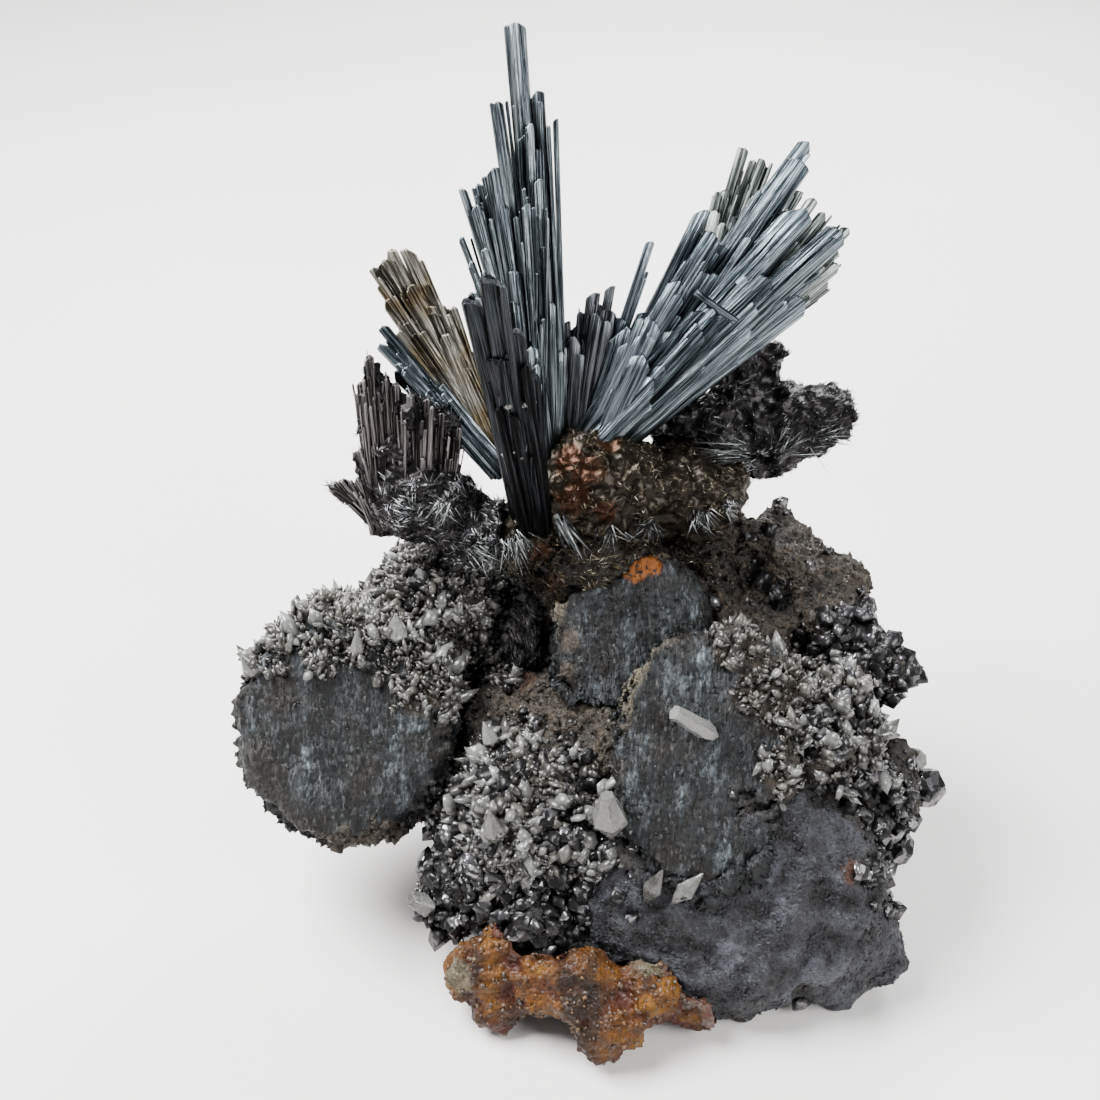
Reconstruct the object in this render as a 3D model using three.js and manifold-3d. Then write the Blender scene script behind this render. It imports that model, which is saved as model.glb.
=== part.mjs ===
// A stibnite crystal spray on its matrix: sheaves of flat striated blades that rise from a felted
// needle mat, on a lump of host rock crusted with round plates, amber calcite and dogtooth calcite.
// Millimetres, +Z up. The origin lies on the flat broken face that the rock rests on. +X is the side
// of the large blade fan, and -Y is the side that the crust plates face.
import * as THREE from "three";
import { mergeVertices } from "three/addons/utils/BufferGeometryUtils.js";
import Module from "manifold-3d";

const wasm = await Module();
wasm.setup();

// Driving dimensions, in millimetres and degrees.
const SEAM = 0.35; // the gap left where one crystal or mineral meets the next
const SPRAY_BACK = 20; // how far the main sheaves lean back from the upright
const PLATE_TILT = -38; // how far the crust plates' faces are tipped up towards the sky
const BLADE_SIDES = 6;
const TIP_SHARE = 0.55; // length of a blade's chisel tip, in blade widths
const TIP_EDGE = 0.6; // width left at the very tip, as a share of the blade's
const TAPER = 0.88; // width at the shoulder under the tip, as a share of the width at the foot
const DISC_POWER = 5; // how square the section of a crust plate is; 2 would be an ellipse
const SWELLS = [2.1, 3.7, 5.9]; // how often the broad bumps of a lump repeat round it
const KNOBS = [7.3, 10.9, 14.7]; // and how often its small knobs do
const BREAK_AT = [0.68, 0.92]; // where flat breaks cut a craggy lump, as shares of its radii
const BREAK_TURN = 2.4; // the turn in radians from one break to the next, which spreads them evenly
const BURIED = 0.3; // how much of a calcite crystal's length is sunk below its foot
const SHOULDER = 0.3; // how far up a calcite crystal is widest, as a share of its length

const radians = THREE.MathUtils.degToRad;

// A closed geometry as a solid: only positions are kept, and shared corners are merged.
function solidOf(geometry, place = new THREE.Matrix4()) {
  const bare = geometry.index ? geometry.toNonIndexed() : geometry.clone();
  bare.deleteAttribute("normal");
  bare.deleteAttribute("uv");
  const merged = mergeVertices(bare.applyMatrix4(place), 1e-4);
  return new wasm.Manifold(
    new wasm.Mesh({
      numProp: 3,
      vertProperties: merged.attributes.position.array,
      triVerts: new Uint32Array(merged.index.array),
    }),
  );
}

// A solid as a geometry for a mesh.
function geometryOf(solid) {
  const made = solid.getMesh();
  return new THREE.BufferGeometry()
    .setAttribute("position", new THREE.BufferAttribute(made.vertProperties, 3))
    .setIndex(new THREE.BufferAttribute(made.triVerts, 1));
}

const joined = (solids) => solids.reduce((all, next) => all.add(next));
const cutBy = (solid, cutters) => cutters.reduce((left, cutter) => left.subtract(cutter), solid);
const largestPiece = (solid) =>
  solid.decompose().reduce((best, piece) => (piece.volume() > best.volume() ? piece : best));

// A smooth bumpy value from about -1 to 1 for a direction, different for each seed.
function bumps(direction, seed, waves = SWELLS) {
  const total = waves.reduce((sum, wave, i) => {
    const turn = seed * (1.7 + i) + i * 2.3;
    const along = Math.cos(turn) * direction.x + Math.sin(turn) * direction.y;
    const across = Math.sin(turn * 1.3) * direction.z + Math.cos(turn * 0.7) * direction.y;
    return sum + (Math.sin(wave * along + turn) * Math.cos(wave * across - turn)) / (1 + i * 0.6);
  }, 0);
  return total / 1.9;
}

// The flat breaks of a craggy lump: the way each one faces, and its share of the radius.
function breaksOf(count, seed) {
  const [low, high] = BREAK_AT;
  return Array.from({ length: count }, (_, i) => {
    const rise = 1 - (2 * i + 1) / count;
    const turn = BREAK_TURN * i + seed;
    const flat = Math.sqrt(1 - rise * rise);
    return {
      faces: new THREE.Vector3(flat * Math.cos(turn), flat * Math.sin(turn), rise),
      share: low + (high - low) * (0.5 + 0.5 * Math.sin(turn * 1.7)),
    };
  });
}

// One lump: a ball stretched to its radii, made bumpy, turned and put in its place.
// Breaks cut it flat here and there. A plate's two faces are flattened, and knobs roughen its rim.
// extra grows it all round, which is how a neighbour is cut clear of it.
function lump(shape, extra = 0) {
  const { at, radii, turn = [0, 0, 0], rough = 0.07, seed = 1 } = shape;
  const { detail = 2, plate = false, knobs = 0, breaks = 0 } = shape;
  const cuts = breaksOf(breaks, seed);
  const ball = new THREE.IcosahedronGeometry(1, detail);
  const angles = new THREE.Euler(...turn.map(radians), "ZYX");
  const place = new THREE.Matrix4().makeRotationFromEuler(angles).setPosition(...at);
  const points = ball.attributes.position;
  const direction = new THREE.Vector3();
  for (let i = 0; i < points.count; i += 1) {
    direction.fromBufferAttribute(points, i).normalize();
    const whole = cuts.map(({ faces, share }) => share / Math.max(share, direction.dot(faces)));
    const swell =
      Math.min(1, ...whole) + rough * bumps(direction, seed) + knobs * bumps(direction, seed, KNOBS);
    if (plate) {
      const fromAxis = Math.min(1, Math.hypot(direction.x, direction.z));
      const depth = (1 - fromAxis ** DISC_POWER) ** (1 / DISC_POWER);
      direction.y = Math.sign(direction.y) * depth;
    }
    points.setXYZ(i, ...radii.map((r, k) => direction.getComponent(k) * (r * swell + extra)));
  }
  return solidOf(ball, place);
}

const lumps = (list, extra = 0) => joined(list.map((shape) => lump(shape, extra)));

// The axes of a sheaf's plane that leans back: across it, up it, and through it to the rear.
function planeOf(back) {
  const [sin, cos] = [Math.sin(radians(back)), Math.cos(radians(back))];
  return {
    across: new THREE.Vector3(1, 0, 0),
    up: new THREE.Vector3(0, sin, cos),
    rear: new THREE.Vector3(0, cos, -sin),
  };
}

// One crystal blade, a flat six-sided prism that narrows a little to a chisel tip.
// It stands at foot, leans in its sheaf's plane, and may be rolled about its own length.
function blade({ foot, back, lean, roll, length, width, thick }, extra) {
  const { across, up, rear } = planeOf(back);
  const along = up
    .clone()
    .multiplyScalar(Math.cos(radians(lean)))
    .addScaledVector(across, Math.sin(radians(lean)));
  const side = new THREE.Vector3().crossVectors(along, rear).applyAxisAngle(along, radians(roll));
  const depth = new THREE.Vector3().crossVectors(side, along);
  const [fullWidth, fullThick] = [width + 2 * extra, thick + 2 * extra];
  const profile = [
    [0, -extra],
    [1, -extra],
    [TAPER, length - TIP_SHARE * width],
    [TAPER * TIP_EDGE, length + extra],
    [0, length + extra],
  ].map(([x, y]) => new THREE.Vector2(x, y));
  const place = new THREE.Matrix4()
    .makeBasis(side, along, depth)
    .scale(new THREE.Vector3(fullWidth / 2, 1, fullThick / 2))
    .setPosition(foot);
  return solidOf(new THREE.LatheGeometry(profile, BLADE_SIDES), place);
}

// A sheaf of blades grown together. Each row is [across, up, layer, lean, length, width, thick, roll]:
// its foot's place in the sheaf's plane from the root, how far behind that plane it stands, the lean
// towards +X in degrees, its sizes, and the turn about its own length in degrees.
function sheaf({ root, back, rows, knots = [] }, extra = 0) {
  const plane = planeOf(back);
  const blades = rows.map(([across, up, layer, lean, length, width, thick, roll = 0]) => {
    const foot = new THREE.Vector3(...root)
      .addScaledVector(plane.across, across)
      .addScaledVector(plane.up, up)
      .addScaledVector(plane.rear, layer);
    return blade({ foot, back, lean, roll, length, width, thick }, extra);
  });
  return joined([...blades, ...knots.map((shape) => lump(shape, extra))]);
}

// A calcite crystal on a flat or round six-sided section: sunk at its foot, widest at its shoulder,
// and drawn in to a point, or to a blunt end that is left as a share of its width.
function calcite({ at, towards, length, width, thick = width, blunt = 0.06 }, extra = 0) {
  const profile = [
    [0, -BURIED * length - extra],
    [1, SHOULDER * length],
    [blunt, length + extra],
    [0, length + extra],
  ].map(([x, y]) => new THREE.Vector2(x, y));
  const along = new THREE.Vector3(...towards).normalize();
  const turn = new THREE.Quaternion().setFromUnitVectors(new THREE.Vector3(0, 1, 0), along);
  const place = new THREE.Matrix4()
    .makeRotationFromQuaternion(turn)
    .scale(new THREE.Vector3(width / 2 + extra, 1, thick / 2 + extra))
    .setPosition(...at);
  return solidOf(new THREE.LatheGeometry(profile, BLADE_SIDES), place);
}

// A blocky sphalerite crystal: a dodecahedron stretched a little and half sunk into the rock.
function blocky({ at, radii, turn }, extra = 0) {
  const angles = new THREE.Euler(...turn.map(radians));
  const place = new THREE.Matrix4()
    .makeRotationFromEuler(angles)
    .scale(new THREE.Vector3(...radii.map((r) => r + extra)))
    .setPosition(...at);
  return solidOf(new THREE.DodecahedronGeometry(1), place);
}

// The host rock: one mass that runs from the rest face up to the neck under the spray.
const ROCK = [
  { at: [3, 4, 13], radii: [23, 19, 19], rough: 0.05, seed: 1, detail: 4, knobs: 0.04 },
  { at: [0, 12, 36], radii: [9, 8, 13], rough: 0.07, seed: 2, knobs: 0.05 },
  { at: [6, 15, 13], radii: [24, 13, 17.5], rough: 0.06, seed: 3, detail: 4, knobs: 0.04, breaks: 11 },
  { at: [-8, -7, 15], radii: [12.6, 11.6, 12.8], rough: 0.07, seed: 5, detail: 4, knobs: 0.05, breaks: 9 },
  { at: [-14.8, -13, 10], radii: [5.8, 6.2, 6.4], rough: 0.1, seed: 31, breaks: 7 },
  { at: [-5, -14, 7.5], radii: [8.4, 7.6, 9], rough: 0.08, seed: 44, detail: 3, knobs: 0.05, breaks: 9 },
  { at: [-18, 14, 32], radii: [9.8, 9, 9], rough: 0.08, seed: 7, detail: 3, knobs: 0.05, breaks: 9 },
  // the crust that slopes from the front disc down to the lower right corner
  {
    at: [15, -11.5, 12], radii: [17.5, 8.5, 15], turn: [-30, 0, 0], rough: 0.04, seed: 4, detail: 4,
    plate: true, knobs: 0.03,
  },
  { at: [27, -14.8, 5], radii: [8.2, 8.4, 9], rough: 0.07, seed: 12, detail: 3, knobs: 0.05, breaks: 10 },
  { at: [14, -17.5, 4], radii: [11, 7, 7], rough: 0.07, seed: 16, detail: 3, knobs: 0.05, breaks: 9 },
  // the right side, from the lobe at its top down to its foot
  { at: [22, 15.5, 33], radii: [9.2, 8.6, 9.4], rough: 0.07, seed: 6, detail: 3, knobs: 0.05, breaks: 9 },
  { at: [27.8, 12, 32], radii: [6.2, 7.4, 8], rough: 0.08, seed: 36, detail: 3, knobs: 0.05, breaks: 9 },
  { at: [30.5, 6.5, 26.5], radii: [6.6, 7.4, 6.8], rough: 0.08, seed: 8, detail: 3, breaks: 9 },
  { at: [25, -3.2, 25.6], radii: [7.8, 8.8, 8.8], rough: 0.07, seed: 37, detail: 3, knobs: 0.05, breaks: 9 },
  { at: [31.6, -4.4, 18], radii: [6.2, 7.4, 6.8], rough: 0.08, seed: 28, detail: 3, breaks: 9 },
  { at: [28.4, -8, 11], radii: [6.4, 7.6, 8], rough: 0.08, seed: 38, detail: 3, breaks: 9 },
  { at: [17, 14, 24], radii: [12, 12, 14], rough: 0.08, seed: 18, detail: 1 },
  { at: [11, 17, 38], radii: [7, 6.5, 6.5], rough: 0.08, seed: 33, detail: 1 },
];
// The round plates of fine crust, and the left lobe that the largest one covers.
const LEFT_PLATE = {
  at: [-27.3, 1.5, 23.5],
  radii: [13.6, 6.4, 14.6],
  turn: [PLATE_TILT, 0, -4],
  rough: 0.045,
  seed: 9,
  detail: 5,
  plate: true,
  knobs: 0.06,
};
const REAR_DISC = {
  at: [4.2, 3, 33],
  radii: [9.6, 4.5, 11.8],
  turn: [PLATE_TILT, 0, 0],
  rough: 0.035,
  seed: 10,
  detail: 5,
  plate: true,
  knobs: 0.035,
};
const FRONT_DISC = {
  at: [13, -7.5, 25.5],
  radii: [12.5, 5, 15.5],
  turn: [PLATE_TILT, 0, 3],
  rough: 0.05,
  seed: 11,
  detail: 5,
  plate: true,
  knobs: 0.045,
};
// The dark fibrous column that stands in the recess beside the plates.
const COLUMN = { at: [-7.2, 6, 29.5], radii: [3, 3.5, 8], rough: 0.08, seed: 21, detail: 1 };
// Amber calcite round the foot.
const AMBER = [
  { at: [-12, -20, 5.4], radii: [5.2, 4.8, 5.2], rough: 0.08, seed: 12, knobs: 0.07 },
  { at: [-10.6, -19.6, 9.6], radii: [3, 3, 3], rough: 0.1, seed: 40, detail: 1 },
  { at: [-10.6, -23.2, 3.4], radii: [3.5, 3.3, 3.2], rough: 0.1, seed: 34, knobs: 0.07 },
  { at: [-6.2, -22, 6], radii: [4.2, 4.4, 5.2], rough: 0.1, seed: 41, knobs: 0.07 },
  { at: [-1.4, -23.4, 6.8], radii: [5.4, 5.2, 5.8], rough: 0.08, seed: 13, knobs: 0.07 },
  { at: [1.2, -26.8, 4.2], radii: [4.6, 4, 4.2], rough: 0.08, seed: 42, knobs: 0.07 },
  { at: [5.8, -23, 6], radii: [4.4, 4.4, 4.8], rough: 0.1, seed: 43, knobs: 0.07 },
  { at: [10.8, -22.2, 4], radii: [4.4, 4.2, 3.8], rough: 0.1, seed: 14, knobs: 0.07 },
];
// The felted needles that cap the neck, and the dark wing of them on the right.
const NEEDLE_MAT = [
  { at: [0, 13, 47.3], radii: [10, 7, 9], rough: 0.08, seed: 15, knobs: 0.05 },
  { at: [9.6, 14, 47], radii: [8.4, 6, 6.2], rough: 0.1, seed: 16, knobs: 0.05 },
  { at: [-8, 9, 44.5], radii: [5, 4, 4], rough: 0.1, seed: 26, detail: 1 },
];
const NEEDLE_WING = [
  { at: [12, 19.5, 51.5], radii: [5.5, 3.6, 5.5], rough: 0.12, seed: 17, detail: 1 },
  { at: [16.5, 22, 52], radii: [6, 3, 5.5], rough: 0.12, seed: 19, knobs: 0.06 },
  { at: [17.4, 25, 56.5], radii: [4, 2.4, 5.2], turn: [0, 30, 0], rough: 0.12, seed: 30, knobs: 0.06 },
  { at: [20, 20.5, 49], radii: [5.4, 2.8, 5], turn: [0, 20, 0], rough: 0.12, seed: 20, knobs: 0.06 },
  {
    at: [22.6, 21.5, 51], radii: [7.8, 2.6, 4.8], turn: [0, -26, 0], rough: 0.08, seed: 22, detail: 3,
    plate: true, knobs: 0.08,
  },
];

const CENTRAL_SPRAY = {
  root: [-5.5, 15.5, 54],
  back: SPRAY_BACK,
  rows: [
    [0.6, -2, 0, -5.4, 45.8, 2, 1.5],
    [1.6, -2, 0.4, -3.2, 38.9, 1.7, 1.4],
    [0.1, -2, 0.5, -7, 38.1, 1.6, 1.3],
    [-0.7, -2, -0.8, -9.5, 31.4, 1.6, 1.2],
    [-0.5, -2, 0.9, -11.5, 30.6, 1.3, 1.2],
    [-0.3, -2, 0.6, -13.6, 30.1, 1.2, 1.2],
    [-0.2, -2, 0, -15.8, 30.1, 1.1, 1.1],
    [0, -2, 0.6, -20.9, 25.3, 0.9, 0.9],
    [-0.6, -2, -0.3, -19.3, 22.4, 1, 1],
    [0.4, -2, -1.5, -1.5, 30, 1.3, 1],
    [-0.3, -2, -1, -2.8, 35.6, 1.2, 1],
    [-0.4, -2, -2.2, -4.5, 12.4, 1.8, 1.2],
    [-1.4, -2, -1.6, -6, 20.5, 1.5, 1],
  ],
};
const BLADE_FAN = {
  root: [1, 15.5, 54],
  back: SPRAY_BACK,
  rows: [
    [-3.7, -2, 1.2, -2.4, 14.4, 1.2, 1.2],
    [-3.5, -2, 1, 3.7, 15.6, 1.4, 1.2],
    [-3.2, -2, 0.6, 6.2, 17.8, 1.6, 1.4],
    [-2.4, -2, 1, 9.1, 18.6, 1.3, 1.2],
    [-2.6, -2, 0.6, 18, 24.4, 1.2, 1],
    [-1.9, -2, 0, 24.3, 29.3, 1.8, 1.3],
    [-3.4, -2, -0.8, 32.1, 28.5, 2.4, 1.4],
    [-2.1, -2, 1, 34.2, 28, 1.6, 1.3],
    [-0.5, -2, 0.2, 33, 38.1, 3, 1.6],
    [-3.1, -2, 1.6, 36.4, 41.6, 2, 1.2],
    [-1.6, -2, 0.4, 38.4, 33.6, 3, 1.5],
    [-2.6, -2, -1.2, 41.7, 35.9, 3.6, 1.5],
    [-0.7, -2, -0.6, 46.3, 35.5, 3.4, 1.5],
    [0.9, -2, 0.8, 49, 28.4, 1.4, 1.2],
    [-2.9, -2, 1.2, 51.6, 33.7, 1.6, 1.2],
    [-2.7, -2, -2.2, 40.9, 21.8, 1.7, 1.2],
    [-0.9, -2, -1.8, 22.2, 16.3, 2.6, 1.4],
    [9.6, 16.3, -2.2, 127, 5.5, 0.8, 0.7],
  ],
};
const BRONZE_SHEAF = {
  root: [-10.5, 15, 53],
  back: SPRAY_BACK,
  rows: [
    [-0.2, -2, 0, -21.8, 25.6, 1.8, 1.4],
    [-0.2, -2, 0.2, -26, 26.2, 1.9, 1.4],
    [0.7, -2, -0.3, -32.4, 25.9, 1.7, 1.4],
    [0.6, -2, -0.6, -35.2, 22.3, 1.6, 1.2],
    [0.3, -2, 0.6, -23.7, 19.6, 1.5, 1.2],
    [0.1, -2, 0.9, -17.1, 18, 1.2, 1.2],
  ],
};
const STEEL_SHEAF = {
  root: [-10.5, 13, 52],
  back: SPRAY_BACK,
  rows: [
    [0, -1, 0, -37.9, 20.5, 1.5, 1.3],
    [0.3, -1, -0.5, -42, 19.5, 1.5, 1.3],
    [0, -1, -0.9, -42, 16.5, 1.3, 1.2],
    [0.2, -1, -1.3, -40, 13, 1.2, 1.1],
  ],
};
const FRONT_BLADES = {
  root: [-6.5, 8.5, 46],
  back: -12,
  rows: [
    [-0.9, 0, 0, -4.7, 36.3, 2.6, 1.8],
    [-1.6, 0, 0.4, -6.6, 33.7, 2.2, 1.6],
    [0.3, 0, 0.2, -5.2, 29.8, 2.6, 1.6],
    [0.9, 0, 0.6, -4.1, 24, 2.2, 1.6],
    [-0.5, 0, -0.9, -5.3, 27, 2.6, 1.3],
  ],
};
const LEFT_STUMP = {
  root: [-20, 9.8, 47],
  back: 12,
  rows: [
    [-4.3, -2, 0.3, -3, 17.6, 2.2, 1.8],
    [-3.6, -2, 0, -2.2, 20.8, 1.9, 1.7],
    [-2.6, -2, 0.5, -1.5, 20, 1.8, 1.6],
    [-1.7, -2, 0, 0, 18, 2.2, 2],
    [-0.5, -2, -0.5, 1.5, 17, 2.4, 2.2],
    [0.9, -2, 0, 3, 16.4, 2.4, 2.2],
    [2.3, -2, 0.2, 5, 15.4, 2.4, 2.2],
    [3.5, -2, 0.3, 7, 14, 2.2, 2],
    [-3.8, -1, -0.8, -13, 9.5, 2.4, 2],
    [-4, -0.8, -0.5, -46, 7, 2.4, 2],
    [0, -2, 1.8, 3, 14, 3.2, 2.4],
  ],
  knots: [
    { at: [-20.4, 12, 52], radii: [5, 3, 6], rough: 0.1, seed: 29, knobs: 0.06 },
    { at: [-19.2, 10.4, 48.5], radii: [6.6, 4.4, 5.2], rough: 0.1, seed: 23, knobs: 0.06 },
    { at: [-13.5, 9.6, 45.5], radii: [5.6, 4, 4], rough: 0.1, seed: 24, knobs: 0.06 },
  ],
};
// Shorter blades behind the fan, and those that fill the back of the spray.
const REAR_CLUSTER = {
  root: [8, 19, 55],
  back: 24,
  rows: [
    [0.2, 0, 0, 15.1, 29.7, 1.4, 1.2],
    [0.5, 0, 0.5, 17.6, 28.7, 1.3, 1.2],
    [0.6, 0, 0, 19.5, 29, 1.4, 1.2],
    [-0.3, 0, -0.4, 15.3, 25.1, 1.4, 1.2],
    [0.8, 0, 0.7, 23, 26.5, 1.5, 1.2],
    [0.6, 0, 0.4, 28, 27.5, 1.5, 1.2],
    [0.4, 0, 0.8, 33, 28, 1.5, 1.2],
  ],
};
const BACK_SHEAF = {
  root: [-4, 18, 52],
  back: 45,
  rows: [
    [-1.5, 0, 0, -15, 19, 2, 1.5],
    [-0.6, 0, 0.5, -10, 22, 2, 1.5],
    [0, 0, -0.4, -6, 20, 1.8, 1.5],
    [0.8, 0, 0.6, 6, 9.5, 2, 1.6],
    [1.6, 0, 0, 18, 11, 2, 1.6],
    [2.4, 0, 0.5, 33, 16, 2.2, 1.5],
    [3, 0, 0, 39, 19, 2.2, 1.5],
    [3.6, 0, -0.5, 45, 16, 2, 1.5],
  ],
};

const CALCITES = {
  calcite_prism_front_disc: {
    at: [13.1, -9, 31.2], towards: [-0.74, -0.1, 0.66], length: 6.6, width: 2.2, blunt: 0.78,
  },
  calcite_dogtooth_plate_tall: { at: [-26.6, 0.9, 33.8], towards: [0.08, 0.05, 1], length: 4.4, width: 1.8 },
  calcite_dogtooth_plate_broad: { at: [-22.2, 2.7, 34.8], towards: [0.02, 0.05, 1], length: 3.9, width: 2.8 },
  calcite_dogtooth_plate_edge: { at: [-38.3, 1.7, 30.6], towards: [-0.35, -0.1, 0.9], length: 3.6, width: 2.6 },
  calcite_dogtooth_slope_low: { at: [-11, -15.2, 22], towards: [-0.1, 0, 1], length: 4.4, width: 2.8 },
  calcite_dogtooth_slope_high: { at: [-11.4, -5.4, 26.4], towards: [-0.25, 0, 0.96], length: 3.8, width: 2 },
  calcite_block_slope: {
    at: [1.6, -14.8, 23], towards: [-0.1, 0.05, 1], length: 5.2, width: 4.2, blunt: 0.35,
  },
  calcite_block_corner: {
    at: [-18.4, -15, 11], towards: [-0.6, -0.4, 0.65], length: 3.4, width: 3.4, blunt: 0.4,
  },
  calcite_leaf_left: {
    at: [5.6, -19.2, 17.2], towards: [0.35, 0.1, 0.92], length: 4.2, width: 2.4, thick: 1.4,
  },
  calcite_leaf_right: {
    at: [8.8, -19.4, 17.2], towards: [0.6, 0.1, 0.8], length: 4.4, width: 2.4, thick: 1.4,
  },
  calcite_knob_right: {
    at: [35.6, -2, 20], towards: [0.6, -0.4, 0.7], length: 3, width: 3.8, blunt: 0.6,
  },
};
const SPHALERITES = {
  sphalerite_crystal_upper: { at: [35.2, 5, 27.6], radii: [2.7, 2.5, 3.4], turn: [20, 30, -20] },
  sphalerite_crystal_outer: { at: [38.3, -3, 17.2], radii: [3, 2.6, 2.9], turn: [10, 45, 30] },
  sphalerite_crystal_lower: { at: [34.6, -8, 12.6], radii: [2.5, 2.4, 2.9], turn: [40, 10, 15] },
};

// Everything above the plane of the rest face.
function aboveTheRestFace(solid, height = 0) {
  const room = new THREE.BoxGeometry(300, 300, 300).translate(0, 0, 150 + height);
  return solid.intersect(solidOf(room));
}

const MINERALS = {
  host_rock: { color: 0x54524d, roughness: 0.95, metalness: 0 },
  grey_crust: { color: 0x44484b, roughness: 0.85, metalness: 0.1 },
  amber_calcite: { color: 0xa8641f, roughness: 0.35, metalness: 0 },
  dark_fibre: { color: 0x1f1d20, roughness: 0.55, metalness: 0.6 },
  steel_stibnite: { color: 0x6d777e, roughness: 0.35, metalness: 1 },
  bronze_stibnite: { color: 0x7a7160, roughness: 0.35, metalness: 1 },
  white_calcite: { color: 0xa9a9a3, roughness: 0.4, metalness: 0 },
  sphalerite: { color: 0x25232a, roughness: 0.25, metalness: 0.5 },
};
for (const finish of Object.keys(MINERALS)) {
  MINERALS[finish] = new THREE.MeshStandardMaterial({ ...MINERALS[finish], flatShading: true });
}

// Each piece in the order in which it is bedded: a piece is cut clear of all those before it.
const specimen = new THREE.Group();
const bedded = [];

function bed(name, finish, shape, trim = (solid) => solid) {
  const solid = largestPiece(cutBy(trim(shape(0)), bedded));
  bedded.push(shape(SEAM));
  const mesh = new THREE.Mesh(geometryOf(solid), MINERALS[finish]);
  mesh.name = name;
  specimen.add(mesh);
}

bed("matrix_rock", "host_rock", (extra) => lumps(ROCK, extra), aboveTheRestFace);
bed("rear_crust_disc", "grey_crust", (extra) => lump(REAR_DISC, extra));
bed("front_crust_disc", "grey_crust", (extra) => lump(FRONT_DISC, extra));
bed("left_crust_plate", "grey_crust", (extra) => lump(LEFT_PLATE, extra));
bed("amber_calcite_crust", "amber_calcite", (extra) => lumps(AMBER, extra), (solid) =>
  aboveTheRestFace(solid, SEAM),
);
bed("recess_fibre_column", "dark_fibre", (extra) => lump(COLUMN, extra));
bed("needle_mat", "dark_fibre", (extra) => lumps(NEEDLE_MAT, extra));
bed("left_blade_stump", "dark_fibre", (extra) => sheaf(LEFT_STUMP, extra));
bed("right_needle_wing", "dark_fibre", (extra) => lumps(NEEDLE_WING, extra));
bed("central_blade_spray", "steel_stibnite", (extra) => sheaf(CENTRAL_SPRAY, extra));
bed("right_blade_fan", "steel_stibnite", (extra) => sheaf(BLADE_FAN, extra));
bed("bronze_blade_sheaf", "bronze_stibnite", (extra) => sheaf(BRONZE_SHEAF, extra));
bed("steel_blade_sheaf", "steel_stibnite", (extra) => sheaf(STEEL_SHEAF, extra));
bed("front_blades", "steel_stibnite", (extra) => sheaf(FRONT_BLADES, extra));
bed("rear_blade_cluster", "steel_stibnite", (extra) => sheaf(REAR_CLUSTER, extra));
bed("back_blade_sheaf", "steel_stibnite", (extra) => sheaf(BACK_SHEAF, extra));
for (const [name, crystal] of Object.entries(CALCITES)) {
  bed(name, "white_calcite", (extra) => calcite(crystal, extra));
}
for (const [name, crystal] of Object.entries(SPHALERITES)) {
  bed(name, "sphalerite", (extra) => blocky(crystal, extra));
}

export default specimen;
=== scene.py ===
"""A stibnite crystal spray on its matrix, dressed for close viewing.

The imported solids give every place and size. Each class below stands for one kind of growth on the
specimen: rough rock and crust, druses of calcite, felts of needles, and sheaves of striated blades.
"""

from __future__ import annotations

import logging
import math
from abc import ABC, abstractmethod
from collections.abc import Callable
from dataclasses import Field, dataclass, field
from enum import Enum

import bpy
import numpy as np
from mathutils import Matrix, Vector


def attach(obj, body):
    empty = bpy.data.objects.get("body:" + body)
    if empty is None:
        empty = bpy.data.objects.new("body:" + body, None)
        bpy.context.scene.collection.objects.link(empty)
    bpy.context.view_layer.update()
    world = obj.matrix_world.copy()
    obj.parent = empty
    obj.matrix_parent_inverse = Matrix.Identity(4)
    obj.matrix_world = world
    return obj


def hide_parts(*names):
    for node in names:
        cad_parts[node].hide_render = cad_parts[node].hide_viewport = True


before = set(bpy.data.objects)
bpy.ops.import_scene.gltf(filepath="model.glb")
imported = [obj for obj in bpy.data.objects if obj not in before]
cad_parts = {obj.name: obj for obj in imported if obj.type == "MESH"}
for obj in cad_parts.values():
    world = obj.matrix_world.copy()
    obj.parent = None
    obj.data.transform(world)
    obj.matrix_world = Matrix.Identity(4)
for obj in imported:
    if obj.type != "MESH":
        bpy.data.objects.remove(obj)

LOG = logging.getLogger("stibnite_spray")
MM = 0.001  # the frame is in metres, and sizes here are in millimetres
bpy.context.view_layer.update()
Array = np.ndarray
Span = tuple[float, float]
Triple = tuple[float, float, float]
Stops = list[tuple[float, str]]
Material = bpy.types.Material
Tree = bpy.types.NodeTree
Node = bpy.types.Node
Socket = bpy.types.NodeSocket
Piece = bpy.types.Object


class Slot(Enum):
    """The record's material slots."""

    HOST_ROCK = "host_rock"
    GREY_CRUST = "grey_crust"
    AMBER = "amber_calcite"
    DARK_FIBRE = "dark_fibre"
    STEEL = "steel_stibnite"
    BRONZE = "bronze_stibnite"
    CALCITE = "white_calcite"
    SPHALERITE = "sphalerite"


class Ground(Enum):
    """What covers a patch of rough rock; each is a number from 0 to 1 stored on its points."""

    DRUSE = "druse"
    SUGAR = "sugar"
    CRUST = "crust"
    EARTH = "earth"
    GLINT = "glint"
    RUST = "rust"
    RIM = "rim"
    FELT = "felt"
    # How deep a point lies in a hollow: the finishes paint shade by it, and crystals keep off the deepest
    # hollows.
    PIT = "pit"


class Grain(Enum):
    """The noise that shapes a layer of bumps."""

    SOFT = "BLENDER_ORIGINAL"
    ROUND = "VORONOI_F1"
    CRACKED = "VORONOI_F2_F1"


# ---------------------------------------------------------------------------------- small tools


def linear(colour: str) -> tuple[float, float, float, float]:
    """Turns an sRGB hex colour into linear red, green, blue and alpha.

    Args:
        colour: The colour as "#rrggbb".

    Returns:
        The linear colour, with an alpha of 1.
    """
    values = [int(colour[i : i + 2], 16) / 255 for i in (1, 3, 5)]
    channels = [v / 12.92 if v <= 0.04045 else ((v + 0.055) / 1.055) ** 2.4 for v in values]
    return (channels[0], channels[1], channels[2], 1.0)


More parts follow.
